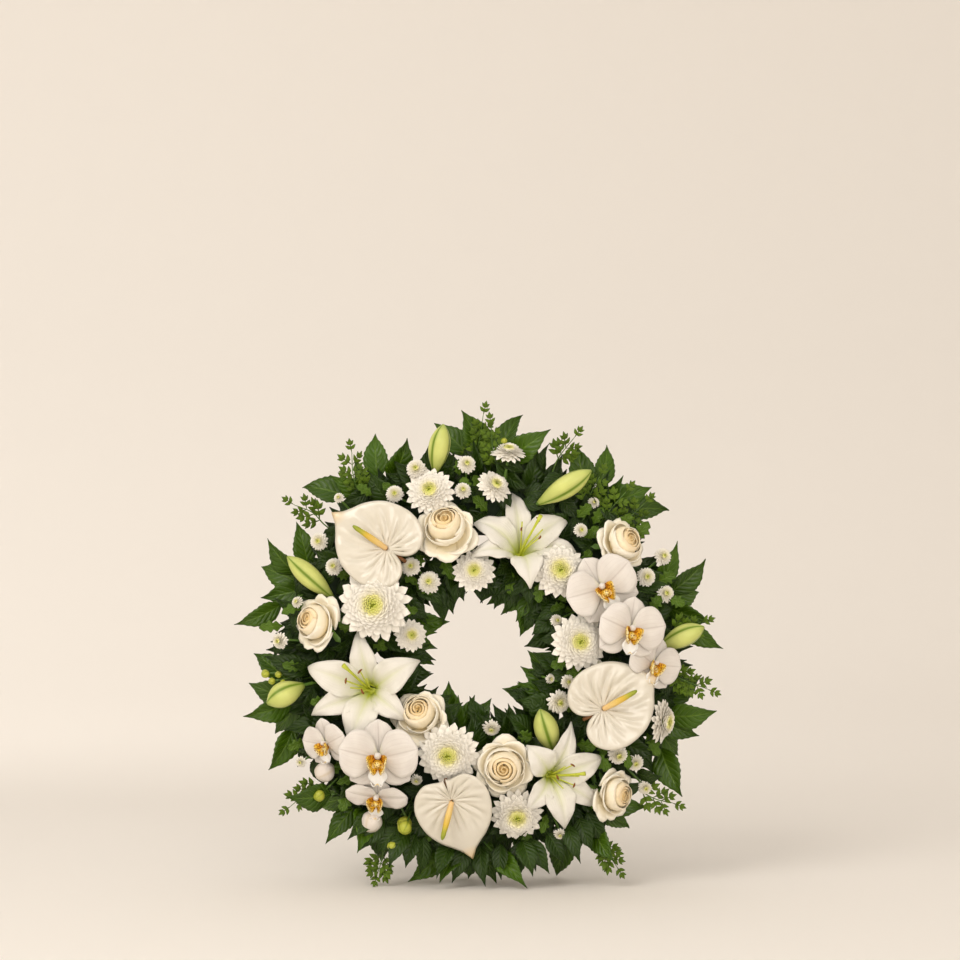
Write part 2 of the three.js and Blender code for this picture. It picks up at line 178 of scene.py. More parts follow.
def blank(sides, rings):  # a ball whose rings become the rings of a stalk, a bud or a bead
    if (sides, rings) not in blanks:
        bpy.ops.object.select_all(action="DESELECT")
        bpy.ops.mesh.primitive_uv_sphere_add(segments=sides, ring_count=rings + 1, radius=1)
        model = grab(bpy.context.object)
        sortFaces(model)
        x, y, z = model["points"].T
        model["turn"] = np.arctan2(y, x)
        model["ring"] = np.rint((1 - np.arccos(np.clip(z, -1, 1)) / math.pi) * (rings + 1)).astype(int)
        blanks[sides, rings] = model
    return blanks[sides, rings]


def rod(points, radii, sides=6, swell=None):  # a closed round rod; swell varies it round and along
    rings = len(points)
    model = blank(sides, rings)
    spine = np.array([list(p) for p in points], float)
    ways = np.gradient(spine, axis=0)
    ways /= np.linalg.norm(ways, axis=1)[:, None]
    sideways = np.cross(ways, (0.62, 0.31, 0.72))  # a direction that no rod runs in
    sideways /= np.linalg.norm(sideways, axis=1)[:, None]
    outwards = np.cross(ways, sideways)
    turn, at = model["turn"], np.clip(model["ring"] - 1, 0, rings - 1)
    pole = (model["ring"] == 0) | (model["ring"] == rings + 1)
    radius = np.where(pole, 0.0, np.array(radii, float)[at])
    if swell is not None:
        radius = radius * swell(turn, at / (rings - 1))
    ringed = np.cos(turn)[:, None] * sideways[at] + np.sin(turn)[:, None] * outwards[at]
    return {**model, "points": spine[at] + radius[:, None] * ringed}


def bead(sides, profile):  # a small turned body about z; profile gives [height, radius]
    return rod([(0, 0, h) for h, r in profile], [r for h, r in profile], sides)


def smooth(points, steps=4):  # a soft curve through a few given points
    out = []
    ends = [points[0] * 2 - points[1]] + list(points) + [points[-1] * 2 - points[-2]]
    for k in range(1, len(ends) - 2):
        a, b, c, d = ends[k - 1:k + 3]
        for i in range(steps):
            t = i / steps
            out.append(0.5 * (2 * b + (c - a) * t + (2 * a - 5 * b + 4 * c - d) * t * t
                              + (3 * b - a - 3 * c + d) * t * t * t))
    return out + [points[-1]]


def stem(points, radius, sides=6, steps=4):
    line = smooth([Vector(p) for p in points], steps)
    return rod(line, [radius] * len(line), sides)


def soft(way, stations):  # a smooth line through a few [way, value] stations
    xs = np.array([s[0] for s in stations], float)
    ys = np.array([s[1] for s in stations], float)
    slopes = np.gradient(ys, xs)
    i = np.clip(np.searchsorted(xs, way, side="right") - 1, 0, len(xs) - 2)
    h = xs[i + 1] - xs[i]
    u = np.clip((way - xs[i]) / h, 0, 1)
    return ((2 * u ** 3 - 3 * u ** 2 + 1) * ys[i] + (u ** 3 - 2 * u ** 2 + u) * h * slopes[i]
            + (3 * u ** 2 - 2 * u ** 3) * ys[i + 1] + (u ** 3 - u ** 2) * h * slopes[i + 1])


def turnedOver(model):  # the same body with its faces the other way round
    counts = np.diff(np.append(model["starts"], len(model["loops"])))
    starts = len(model["loops"]) - (model["starts"] + counts)[::-1]
    return {**model, "loops": model["loops"][::-1], "starts": starts, "uv": model["uv"][::-1]}


def together(copies):  # placed models as one model; copies are (model, matrix, tone)
    parts = {"points": [], "loops": [], "starts": [], "uv": [], "tones": []}
    vertexCount = loopCount = 0
    for model, matrix, tone in copies:
        m = np.array(matrix)
        if np.linalg.det(m[:3, :3]) < 0:
            model = turnedOver(model)
        parts["points"].append(model["points"] @ m[:3, :3].T + m[:3, 3])
        parts["loops"].append(model["loops"] + vertexCount)
        parts["starts"].append(model["starts"] + loopCount)
        parts["uv"].append(model["uv"])
        parts["tones"].append(np.full(len(model["points"]), tone))
        vertexCount += len(model["points"])
        loopCount += len(model["loops"])
    return {part: np.concatenate(arrays) for part, arrays in parts.items()}


def build(name, copies, finishName, replaced=()):
    model = together(copies)
    mesh = bpy.data.meshes.new(name)
    mesh.vertices.add(len(model["points"]))
    mesh.vertices.foreach_set("co", (model["points"] * mm).ravel())
    mesh.loops.add(len(model["loops"]))
    mesh.loops.foreach_set("vertex_index", model["loops"])
    mesh.polygons.add(len(model["starts"]))
    mesh.polygons.foreach_set("loop_start", model["starts"])
    mesh.update(calc_edges=True)
    mesh.uv_layers.new(name="sheet").data.foreach_set("uv", model["uv"].ravel())
    mesh.attributes.new("tone", "FLOAT", "POINT").data.foreach_set("value", model["tones"])
    mesh.polygons.foreach_set("use_smooth", np.ones(len(model["starts"]), bool))
    mesh.materials.append(finish[finishName])
    piece = bpy.data.objects.new(name, mesh)
    bpy.context.collection.objects.link(piece)
    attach(piece, "root")
    if replaced:
        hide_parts(*replaced)


# Stems.

stalks = []  # every stem is gathered here and built as one piece
greens = []  # calyxes and sepals


def addStem(points, radius, tone, steps=4):
    stalks.append((stem(points, radius, steps=steps), still, tone))


def rootOf(clock, reach):  # where a stem ends inside the foam
    within = min(max(reach, foamInner + 14), foamOuter - 14)
    return place(clock, within, foamFront - 24)


def outOfFoam(clock, reach):  # a stem's root and where it leaves the foam
    start = rootOf(clock, reach)
    return [start, Vector((start.x, backPlane - foamFront - 2, start.z))]


def stalkTo(head, look, clock, reach, radius):
    addStem([*outOfFoam(clock, reach), head - look * 7, head], radius, dice.random(), 3)


def forkAt(clock, reach, tone):  # a stem that ends in a fork over the foam
    fork = place(clock, reach, foamFront + 8)
    addStem([rootOf(clock, reach), fork], 2, tone)
    return fork


def branch(fork, neck, look, tone):
    addStem([fork, fork.lerp(neck, 0.6) - look * 5, neck], 1.3, tone)


def reachOut(target, end, radius, tone):  # a thin stem to something past the foam's edge
    x, z = target.x, target.z - centreHeight
    start = rootOf(math.degrees(math.atan2(x, z)), math.hypot(x, z))
    addStem([start, start.lerp(target, 0.6) + front * 6, end], radius, tone)


# Materials.

class Paint:  # a new material with its nodes, and what the sheets tell it
    def __init__(self, name, roughness, coat=0.0, gloss=0.5):
        self.material = bpy.data.materials.new(name)
        self.material.use_nodes = True
        self.nodes, self.links = self.material.node_tree.nodes, self.material.node_tree.links
        self.inputs = self.nodes["Principled BSDF"].inputs
        self.inputs["Roughness"].default_value = roughness
        self.inputs["Coat Weight"].default_value = coat
        self.inputs["Coat Roughness"].default_value = 0.2
        self.inputs["Specular IOR Level"].default_value = gloss
        uv = self.nodes.new("ShaderNodeUVMap")
        uv.uv_map = "sheet"
        self.side, self.way = self.split(uv.outputs[0])[:2]  # across and along the petal or leaf
        tone = self.nodes.new("ShaderNodeAttribute")
        tone.attribute_name = "tone"
        self.tone = tone.outputs["Fac"]
        self.space = self.nodes.new("ShaderNodeTexCoord").outputs["Object"]

    def feed(self, socket, value):
        if isinstance(value, (int, float)):
            socket.default_value = value
        elif isinstance(value, tuple):
            socket.default_value = (*value, 1)
        else:
            self.links.new(value, socket)

    def split(self, vector):
        node = self.nodes.new("ShaderNodeSeparateXYZ")
        self.links.new(vector, node.inputs[0])
        return node.outputs

    def ramp(self, source, *stops):  # a plain number is a grey
        node = self.nodes.new("ShaderNodeValToRGB")
        while len(node.color_ramp.elements) < len(stops):
            node.color_ramp.elements.new(0.5)
        for element, (position, color) in zip(node.color_ramp.elements, stops):
            element.position = position
            element.color = (*color, 1) if isinstance(color, tuple) else (color, color, color, 1)
        self.links.new(source, node.inputs["Fac"])
        return node.outputs["Color"]

    def work(self, operation, *values):
        node = self.nodes.new("ShaderNodeMath")
        node.operation = operation
        for socket, value in zip(node.inputs, values):
            self.feed(socket, value)
        return node.outputs[0]

    def mix(self, factor, a, b, blend="MIX"):
        node = self.nodes.new("ShaderNodeMix")
        node.data_type = "RGBA"
        node.blend_type = blend
        for name, value in (("Factor", factor), ("A", a), ("B", b)):
            self.feed(node.inputs[name], value)
        return node.outputs["Result"]

    def noise(self, scale, detail):
        node = self.nodes.new("ShaderNodeTexNoise")
        node.inputs["Scale"].default_value = scale
        node.inputs["Detail"].default_value = detail
        self.links.new(self.space, node.inputs["Vector"])
        return node.outputs["Fac"]

    def cells(self, scale, feature="F1"):
        node = self.nodes.new("ShaderNodeTexVoronoi")
        node.feature = feature
        node.inputs["Scale"].default_value = scale
        self.links.new(self.space, node.inputs["Vector"])
        return node.outputs["Distance"]

    def ribs(self, count):  # fine lines that run along a petal
        return self.work("SINE", self.work("MULTIPLY", self.side, count * 2 * math.pi))

    def offMiddle(self):  # how far from the sheet's midline
        return self.work("ABSOLUTE", self.work("SUBTRACT", self.side, 0.5))

    def done(self, color, height=None, strength=0.0, depth=0.0):
        self.links.new(color, self.inputs["Base Color"])
        if height is not None:
            node = self.nodes.new("ShaderNodeBump")
            node.inputs["Strength"].default_value = strength
            node.inputs["Distance"].default_value = depth * mm
            self.links.new(height, node.inputs["Height"])
            self.links.new(node.outputs[0], self.inputs["Normal"])
        return self.material


def chrysanthemumFinish():
    paint = Paint("chrysanthemum petal", 0.6, gloss=0.25)
    base = paint.ramp(
        paint.tone, (0.0, (0.34, 0.40, 0.02)), (0.03, (0.48, 0.54, 0.03)), (0.08, (0.74, 0.78, 0.12)),
        (0.17, (0.90, 0.88, 0.30)), (0.3, (0.94, 0.89, 0.56)), (0.44, (0.94, 0.89, 0.74)),
        (0.7, (0.945, 0.90, 0.82)))
    foot = paint.ramp(paint.way, (0.0, (0.95, 0.95, 0.78)), (0.3, (0.99, 0.985, 0.95)), (1.0, 1))
    return paint.done(paint.mix(0.85, base, foot, "MULTIPLY"), paint.ribs(5), 0.12, 0.15)


def roseFinish():
    paint = Paint("rose petal", 0.55, gloss=0.3)
    outer = paint.ramp(paint.way, (0.0, (0.90, 0.78, 0.44)), (0.4, (0.92, 0.83, 0.62)),
                       (0.8, (0.93, 0.865, 0.73)), (1.0, (0.93, 0.89, 0.79)))
    inner = paint.ramp(paint.way, (0.0, (0.92, 0.64, 0.24)), (0.6, (0.93, 0.76, 0.44)),
                       (0.88, (0.93, 0.72, 0.36)), (0.97, (0.93, 0.58, 0.19)), (1.0, (0.94, 0.78, 0.46)))
    share = paint.ramp(paint.tone, (0.0, 0), (0.22, 0.35), (0.62, 1))
    tint = paint.ramp(paint.noise(60, 4), (0.3, (0.97, 0.95, 0.90)), (0.7, 1))
    color = paint.mix(1.0, paint.mix(share, inner, outer), tint, "MULTIPLY")
    return paint.done(color, paint.ribs(16), 0.12, 0.15)


def lilyFinish():
    paint = Paint("lily petal", 0.5, gloss=0.3)
    rib = paint.ramp(paint.offMiddle(), (0.0, 1), (0.05, 0.55), (0.2, 0))
    throat = paint.ramp(paint.way, (0.0, 1), (0.14, 0.7), (0.26, 0.18), (0.42, 0.03), (0.7, 0))
    ribWay = paint.ramp(paint.way, (0.0, 1), (0.45, 0.55), (0.85, 0.08), (1.0, 0.3))
    green = paint.mix(1.0, rib, ribWay, "MULTIPLY")
    share = paint.mix(1.0, paint.mix(0.55, (0, 0, 0), green), throat, "ADD")
    white = paint.ramp(paint.noise(45, 3), (0.3, (0.76, 0.725, 0.655)), (0.7, (0.81, 0.775, 0.71)))
    return paint.done(paint.mix(share, white, (0.55, 0.62, 0.06)), paint.ribs(14), 0.18, 0.3)


def orchidFinish():
    paint = Paint("orchid petal", 0.5, gloss=0.3)
    color = paint.ramp(paint.way, (0.0, (0.70, 0.68, 0.48)), (0.16, (0.745, 0.70, 0.645)),
                       (0.7, (0.78, 0.73, 0.675)), (1.0, (0.82, 0.775, 0.725)))
    tint = paint.ramp(paint.noise(70, 2), (0.35, (0.95, 0.94, 0.94)), (0.65, 1))
    # painted shade: grey lines between the ribs and a grey line down the midline fold stand for the shade in
    # the petal's creases
    paintedCreaseShade = paint.ramp(paint.work("ABSOLUTE", paint.ribs(5)), (0.0, (0.90, 0.885, 0.88)), (0.16, 1))
    fold = paint.ramp(paint.offMiddle(), (0.0, (0.84, 0.82, 0.81)), (0.035, 1))
    for shade in (tint, paintedCreaseShade, fold):
        color = paint.mix(1.0, color, shade, "MULTIPLY")
    return paint.done(color, paint.ribs(12), 0.15, 0.3)


def lipFinish():
    paint = Paint("orchid lip", 0.4)
    yellow = paint.ramp(paint.way, (0.0, (0.62, 0.22, 0.02)), (0.35, (0.84, 0.42, 0.02)),
                        (0.7, (0.88, 0.60, 0.05)), (0.95, (0.90, 0.78, 0.40)))
    white = paint.ramp(paint.way, (0.0, (0.82, 0.50, 0.08)), (0.25, (0.88, 0.72, 0.40)),
                       (0.45, (0.90, 0.88, 0.84)), (1.0, (0.91, 0.90, 0.88)))
    dots = paint.ramp(paint.cells(480), (0.32, (0.26, 0.06, 0.01)), (0.55, 1))
    spotted = paint.mix(0.85, yellow, dots, "MULTIPLY")
    return paint.done(paint.mix(paint.tone, white, spotted), paint.noise(600, 2), 0.2, 0.2)


def spatheFinish():
    paint = Paint("anthurium spathe", 0.24, coat=0.6)
    cream = paint.ramp(paint.noise(26, 4), (0.3, (0.69, 0.635, 0.525)), (0.7, (0.75, 0.70, 0.60)))
    tip = paint.work("SUBTRACT", paint.way, paint.work("MULTIPLY", paint.offMiddle(), 9))
    color = paint.mix(paint.ramp(tip, (0.74, 0), (1.0, 0.75)), cream, (0.86, 0.58, 0.24))
    return paint.done(color, paint.cells(120, "SMOOTH_F1"), 0.35, 1.6)


def spadixFinish():
    paint = Paint("anthurium spadix", 0.5)
    color = paint.ramp(paint.way, (0.0, (0.86, 0.56, 0.26)), (0.3, (0.86, 0.60, 0.20)),
                       (0.58, (0.76, 0.50, 0.05)), (0.76, (0.42, 0.42, 0.03)), (1.0, (0.22, 0.30, 0.02)))
    return paint.done(color, paint.cells(900), 0.6, 0.5)


def budFinish(name, panel, rib, ribCount):
    paint = Paint(name, 0.4, gloss=0.4)
    phase = paint.work("MULTIPLY", paint.side, ribCount * 2 * math.pi)
    wave = paint.work("MULTIPLY_ADD", paint.work("COSINE", phase), 0.5, 0.5)
    ribShare = paint.ramp(wave, (0.0, 1), (0.03, 0.75), (0.08, 0.30), (0.3, 0))
    ends = paint.ramp(paint.way, (0.0, 0.9), (0.2, 0.35), (0.5, 0.05), (0.85, 0.25), (1.0, 0.8))
    patch = paint.ramp(paint.noise(80, 3), (0.3, (0.92, 0.92, 0.9)), (0.7, 1))
    color = paint.mix(paint.mix(1.0, ribShare, ends, "SCREEN"), panel, rib)
    return paint.done(paint.mix(1.0, color, patch, "MULTIPLY"), paint.ribs(30), 0.15, 0.3)


def leafFinish(name, deep, fresh, vein, roughness, veinCount):
    paint = Paint(name, roughness, gloss=0.3)
    offset = paint.offMiddle()
    rib = paint.ramp(offset, (0.0, 1), (0.022, 0.6), (0.05, 0))
    slope = paint.work("SUBTRACT", paint.work("MULTIPLY", paint.way, veinCount),
                       paint.work("MULTIPLY", offset, veinCount * 0.62))
    ridge = paint.work("ABSOLUTE", paint.work("SUBTRACT", paint.work("FRACT", slope), 0.5))
    veins = paint.mix(1.0, rib, paint.ramp(ridge, (0.0, 0.75), (0.07, 0.15), (0.15, 0)), "LIGHTEN")
    toned = paint.mix(paint.tone, paint.mix(paint.noise(30, 4), deep, fresh), fresh)
    color = paint.mix(paint.mix(0.5, (0, 0, 0), veins), toned, vein)
    return paint.done(color, paint.mix(0.6, ridge, veins, "SUBTRACT"), 0.7, 1.2)


def plainFinish(name, low, high, roughness, scale, bumpScale, depth):
    paint = Paint(name, roughness)
    color = paint.ramp(paint.noise(scale, 4), (0.3, low), (0.7, high))
    return paint.done(color, paint.noise(bumpScale, 3), 0.4, depth)


finish = {
    "chrysanthemum": chrysanthemumFinish(), "rose": roseFinish(), "lily": lilyFinish(),
    "orchid": orchidFinish(), "lip": lipFinish(), "spathe": spatheFinish(), "spadix": spadixFinish(),
    "lilyBud": budFinish("lily bud", (0.70, 0.73, 0.22), (0.15, 0.25, 0.010), 3),
    "orchidBud": budFinish("orchid bud", (0.80, 0.73, 0.68), (0.72, 0.62, 0.50), 3),
    "greenBud": budFinish("green bud", (0.50, 0.52, 0.06), (0.26, 0.31, 0.02), 5),
    "filament": plainFinish("lily filament", (0.50, 0.55, 0.03), (0.62, 0.66, 0.07), 0.4, 200, 400, 0.1),
    "anther": plainFinish("lily anther", (0.16, 0.045, 0.008), (0.28, 0.10, 0.02), 0.85, 900, 1600, 0.3),
    "leaf": leafFinish(
        "broad leaf", (0.007, 0.021, 0.001), (0.054, 0.118, 0.003), (0.16, 0.27, 0.03), 0.32, 7),
    # painted shade: a darker copy of the broad leaf colour for the leaves in the gaps and behind the flowers
    "paintedShadeLeaf": leafFinish(
        "leaf with painted shade", (0.004, 0.012, 0.0006), (0.024, 0.056, 0.002), (0.06, 0.11, 0.012), 0.40, 7),
    "lightLeaf": leafFinish(
        "chrysanthemum leaf", (0.035, 0.080, 0.004), (0.090, 0.170, 0.010), (0.18, 0.28, 0.04), 0.45, 5),
    "fern": leafFinish(
        "fern leaflet", (0.050, 0.100, 0.005), (0.130, 0.22, 0.012), (0.18, 0.28, 0.03), 0.45, 4),
    "stem": plainFinish("stem", (0.05, 0.12, 0.012), (0.13, 0.24, 0.03), 0.45, 120, 500, 0.15),
    "redStem": plainFinish("anthurium stem", (0.20, 0.075, 0.02), (0.34, 0.15, 0.045), 0.45, 90, 500, 0.1),
    # the foam's own dark wet green, taken near black as painted shade where it shows between the leaves
    "foam": plainFinish("wet flower foam with painted shade", (0.006, 0.016, 0.004), (0.014, 0.034, 0.008), 0.85, 300, 1400,
                        0.8),
    "tray": plainFinish("tray plastic", (0.008, 0.022, 0.011), (0.014, 0.034, 0.017), 0.42, 40, 900, 0.08),
}
say("materials made")

# Chrysanthemums.

chrysanthemumPlan = {
    "heads": [  # clock, reach, ahead, size, lean, leaned to, how yellow
        (343, 213, 108, 62, 20, 343, 0.1), (296, 145, 130, 92, 8, 290, 0), (356, 105, 110, 54, 10, 0, 0.5),
        (8, 255, 88, 45, 62, 5, 0), (5, 211, 100, 46, 40, 40, 0.1), (43, 144, 118, 69, 12, 40, 0.9),
        (82, 124, 118, 72, 8, 60, 0.2), (110, 243, 98, 56, 62, 95, 0.4), (167, 204, 108, 67, 16, 170, 0.6),
        (198, 127, 124, 79, 8, 200, 0.3), (286, 89, 106, 42, 16, 60, 0.5)],
    # stations from the heart to the rim: where a petal's tip is, how it leans and its size
    "tip": [(0, 0.185), (0.3, 0.245), (0.6, 0.305), (0.82, 0.345), (1, 0.38)],
    "height": [(0, 0.140), (0.3, 0.128), (0.6, 0.092), (0.82, 0.045), (1, 0.0)],
    "tilt": [(0, 58), (0.3, 66), (0.6, 76), (0.82, 84), (1, 90)],
    "length": [(0, 0.12), (0.3, 0.15), (0.6, 0.19), (0.82, 0.23), (1, 0.27)],
    "width": [(0, 0.080), (0.3, 0.100), (0.6, 0.115), (0.82, 0.125), (1, 0.130)],
    # clean petals that stand apart at the rim: tip, height, tilt, length, width
    "rings": [(0.435, -0.010, 90, 0.28, 0.118), (0.505, -0.045, 94, 0.33, 0.122)],
    "ringPetals": 18,
    "heart": (54, 0.175, 0.165, 0.048, 0.09),  # florets, rim, top, a floret's width and length
}


def spoon(bend, cup, tip):  # a petal of length and width 1 that bends over its length
    outline = [(0, 0.40), (0.3, 0.66), (0.6, 0.94), (0.78, 1), (0.9, 0.82), (1, tip)]

    def shape(side, way):
        half = 0.5 * soft(way, outline)
        angle = bend * way
        y = np.sin(angle) / bend - 0.05 * side ** 2 * np.clip((way - 0.6) / 0.4, 0, 1)
        z = (1 - np.cos(angle)) / bend + cup * side ** 2 * (0.4 + 0.6 * np.sin(way * math.pi * 0.8))
        return stack(side * half, y, z)
    return shape


innerPetals = [sheet(2, 4, spoon(bend, 0.05, 0.50), 0.020) for bend in (0.6, 0.4)]
outerPetals = [sheet(4, 6, spoon(bend, 0.05, 0.30), 0.014) for bend in (0.35, 0.2, 0.08, -0.1, -0.25)]
buttonPetals = [sheet(2, 3, spoon(bend, 0.07, 0.46), 0.035) for bend in (0.6, 0.35, 0.1, -0.25)]
floret = sheet(2, 3, spoon(1.0, 0.10, 0.5), 0.03)
heartBall = bead(10, [(-0.12, 0.05), (-0.04, 0.11), (0.01, 0.10), (0.03, 0.06), (0.035, 0.03)])
hearts = []


def tipPlace(turn, tip, height, tilt, width, length, roll=0.0):  # as petalPlace, but set by the tip
    lean = math.radians(tilt)
    base, rise = tip - length * math.sin(lean), height - length * math.cos(lean)
    return petalPlace(turn, base, rise, tilt, width, length, roll)


def dome(plan, count, petals, firstTone, lastTone):  # petals laid like scales, each at its own station
    copies = []
    order = (np.arange(count) + 0.5) / count
    laid = [soft(order, plan[part]) for part in ("tip", "height", "tilt", "length", "width")]
    for k, (t, tip, height, tilt, length, width) in enumerate(zip(order, *laid)):
        tilt += wobble(2.5)
        length *= 1 + wobble(0.05)
        spot = tipPlace(golden * k + wobble(4), tip, height, tilt, width * (1 + wobble(0.1)), length,
                        wobble(5))
        tone = firstTone + (lastTone - firstTone) * t + wobble(0.04)
        copies.append((petals[int(t * len(petals))], spot, min(1, tone)))
    return copies


def heart(count, rim, top, width, length):  # a ball with tiny florets that lean in over it
    inmost, dish = 0.042, 0.03
    copies = [(heartBall, Matrix.Translation((0, 0, top - 0.13)), 0.0)]
    for k in range(count):
        t = math.sqrt((k + 0.5) / count)
        tilt = -8 + 26 * t + wobble(4)
        spot = tipPlace(golden * k, inmost + (rim - inmost) * t, top - dish + dish * t, tilt, width, length)
        copies.append((floret, spot, 0.07 + 0.17 * t + wobble(0.015)))
    return copies


for number, (clock, reach, ahead, size, lean, leanTo, yellow) in enumerate(chrysanthemumPlan["heads"], 1):
    centre, look, head = headAt(clock, reach, ahead, size, lean, leanTo, wobble(30))
    count = 120 if size > 75 else 104 if size > 60 else 88
    petals = dome(chrysanthemumPlan, count, innerPetals * 2 + outerPetals[:3], 0.40 - 0.16 * yellow,
                  1.0 - 0.12 * yellow)
    step = 360 // chrysanthemumPlan["ringPetals"]
    for ring, (tip, rise, tilt, length, width) in enumerate(chrysanthemumPlan["rings"]):
        for k in range(chrysanthemumPlan["ringPetals"]):
            long = length * (1 + wobble(0.05))
            spot = petalPlace(step * k + step // 2 * ring + wobble(3), tip - length, rise, tilt + wobble(4),
                              width * (1 + wobble(0.08)), long, wobble(8))
            petals.append((outerPetals[(k + ring) % 3 + 2], spot, 1.0 - 0.1 * yellow))
    build(f"chrysanthemum_petals_{number}", onHead(head, petals), "chrysanthemum",
          (f"chrysanthemum_{number}",))
    hearts += onHead(head, heart(*chrysanthemumPlan["heart"]))
    stalkTo(centre - look * size * 0.12, look, clock, reach, 2)
say("chrysanthemums")

# Button sprays.

buttonPlan = {
    "sprays": [  # the root's clock and reach, then heads as clock, reach, ahead, size
        ((337, 200), [(341, 244, 95, 28), (332, 226, 95, 25)]),
        ((355, 200), [(356, 237, 95, 26), (354, 205, 100, 24)]),
        ((303, 200), [(305, 245, 86, 26), (301, 212, 94, 25)]),
        ((66, 200), [(62, 259, 80, 25), (65, 228, 95, 27), (72, 243, 86, 26)]),
        ((106, 166), [(107, 114, 100, 20), (121, 114, 98, 33), (95, 145, 100, 19)]),
        ((127, 198), [(126, 212, 98, 28), (125, 236, 90, 24), (129, 266, 80, 21), (126, 178, 95, 17)]),
        ((323, 166), [(322, 139, 104, 27), (325, 110, 104, 32)]),
        ((38, 200), [(39, 199, 96, 20), (37, 236, 82, 17)])],
    "singles": [
        (274, 249, 96, 24), (66, 104, 100, 18), (109, 92, 98, 14), (156, 244, 96, 17), (171, 91, 104, 25),
        (239, 260, 92, 16), (207, 174, 100, 17), (205, 262, 92, 16), (318, 262, 96, 15), (286, 236, 96, 17),
        (252, 112, 96, 15), (141, 222, 98, 15)],
    "tip": [(0, 0.19), (0.3, 0.30), (0.6, 0.39), (0.8, 0.445), (1, 0.49)],
    "height": [(0, 0.27), (0.3, 0.235), (0.6, 0.150), (0.8, 0.04), (1, -0.09)],
    "tilt": [(0, 50), (0.3, 60), (0.6, 76), (0.8, 92), (1, 110)],
    "length": [(0, 0.15), (0.3, 0.18), (0.6, 0.22), (0.8, 0.24), (1, 0.26)],
    "width": [(0, 0.090), (0.3, 0.120), (0.6, 0.135), (1, 0.125)],
    "petals": 84,
    "heart": (16, 0.165, 0.30, 0.080, 0.11),
    "sprayLean": 22,
    "singleLean": 30,
}


def smallHead(clock, reach, ahead, size, lean):
    leanTo = clock + wobble(25)
    centre, look, head = headAt(clock, reach, ahead, size, lean + wobble(10), leanTo, wobble(60))
    hearts.extend(onHead(head, heart(*buttonPlan["heart"])))
    petals = dome(buttonPlan, buttonPlan["petals"], buttonPetals, 0.36, 0.9)
    return centre - look * size * 0.16, look, onHead(head, petals)


for number, (root, heads) in enumerate(buttonPlan["sprays"], 1):
    copies = []
    fork = forkAt(*root, dice.random())
    for small in heads:
        neck, look, petals = smallHead(*small, buttonPlan["sprayLean"])
        copies += petals
        branch(fork, neck, look, dice.random())
    build(f"button_petals_{number}", copies, "chrysanthemum", (f"button_spray_{number}",))
copies = []
for clock, reach, ahead, size in buttonPlan["singles"]:
    neck, look, petals = smallHead(clock, reach, ahead, size, buttonPlan["singleLean"])
    copies += petals
    stalkTo(neck, look, clock, reach, 1.3)
build("button_petals_single", copies, "chrysanthemum")
build("flower_hearts", hearts, "chrysanthemum")
say("button sprays")

# Roses.

rosePlan = {
    "heads": [  # clock, reach, ahead, size, lean, leaned to, then where the cup nods to and by how much
        (345, 159, 122, 74, 14, 340, 352, 26), (281, 208, 112, 67, 40, 280, 330, 10),
        (52, 225, 110, 66, 40, 58, 60, 8), (168, 141, 122, 73, 8, 200, 0, 4),
        (136, 242, 104, 62, 42, 100, 60, 8), (224, 107, 116, 68, 14, 300, 0, 22)],
    "folds": 8, "cup": 4, "open": 6, "outer": 9, "sepals": 5,
    "grow": 1.06,
    "hinge": 0.25,  # how far under the centre the petals nod
}


def rosePetal(rim, height, belly, span, roll, point, slack, foot=(0.03, -0.30)):
    def shape(side, way):
        turn = side * math.radians(span) / 2 * (0.45 + 0.55 * np.sin(way * math.pi / 2))
        edge = np.abs(side) ** 2.6
        rho = (1 - way) ** 2 * foot[0] + 2 * way * (1 - way) * belly[0] + way ** 2 * rim
        z = (1 - way) ** 2 * foot[1] + 2 * way * (1 - way) * belly[1] + way ** 2 * height
        z = z - slack * edge * way
        curl = np.clip((way - 0.72) / 0.28, 0, 1) ** 2
        rho = rho + roll * curl * (1 - 0.3 * edge)
        z = z - roll * 0.9 * curl ** 2
        corner = point * np.abs(side) ** 1.2 * way ** 2
        rho = rho * (1 - corner) + 0.012 * side
        z = z - 0.25 * corner * way
        return stack(rho * np.sin(turn), rho * np.cos(turn), z)
    return shape


def shares(count):  # each number below count, and how far along it is
    return [(k, k / (count - 1)) for k in range(count)]


def rosePetals(plan):
    made = []  # each as model, turn, tone and how far it nods with the cup
    for k, t in shares(plan["folds"]):  # the tight folds
        lift = 0.205 + 0.03 * t + 0.012 * math.sin(5 * k)
        shape = rosePetal(0.025 + 0.135 * t, lift, (0.06 + 0.28 * t, 0.17 - 0.13 * t), 215 - 60 * t,
                          0.006, 0.0, 0.04, (0.015, 0.15 - 0.13 * t))
        made.append((sheet(9, 6, shape, 0.009), golden * k, 0.02 + 0.26 * t, 1))
    for k, t in shares(plan["cup"]):  # smooth petals that close the cup
        shape = rosePetal(0.175 + 0.06 * t, 0.235 - 0.05 * t, (0.41 + 0.03 * t, -0.04), 170,
                          0.012 + 0.010 * t, 0.05, 0.05)
        made.append((sheet(10, 8, shape, 0.009), 95 * k + 30, 0.36 + 0.12 * t, 1 - 0.12 * t))
    for k, t in shares(plan["open"]):
        shape = rosePetal(0.255 + 0.125 * t, 0.175 - 0.12 * t, (0.44, -0.05), 132, 0.022 + 0.035 * t,
                          0.14 + 0.10 * t, 0.05, (0.05, -0.20))
        made.append((sheet(9, 8, shape, 0.009), 76 * k + 10, 0.56 + 0.14 * t, 0.8 - 0.6 * t))
    for k, t in shares(plan["outer"]):  # wide petals with rolled sides and pointed tips
        shape = rosePetal(0.43 + 0.10 * t, 0.045 - 0.13 * t, (0.40, -0.12), 96, 0.045, 0.38, 0.04,
                          (0.05, -0.22))
        made.append((sheet(9, 8, shape, 0.010), 76 * k + 20 * (k // 5), 0.74 + 0.26 * t, 0.1))
    return made


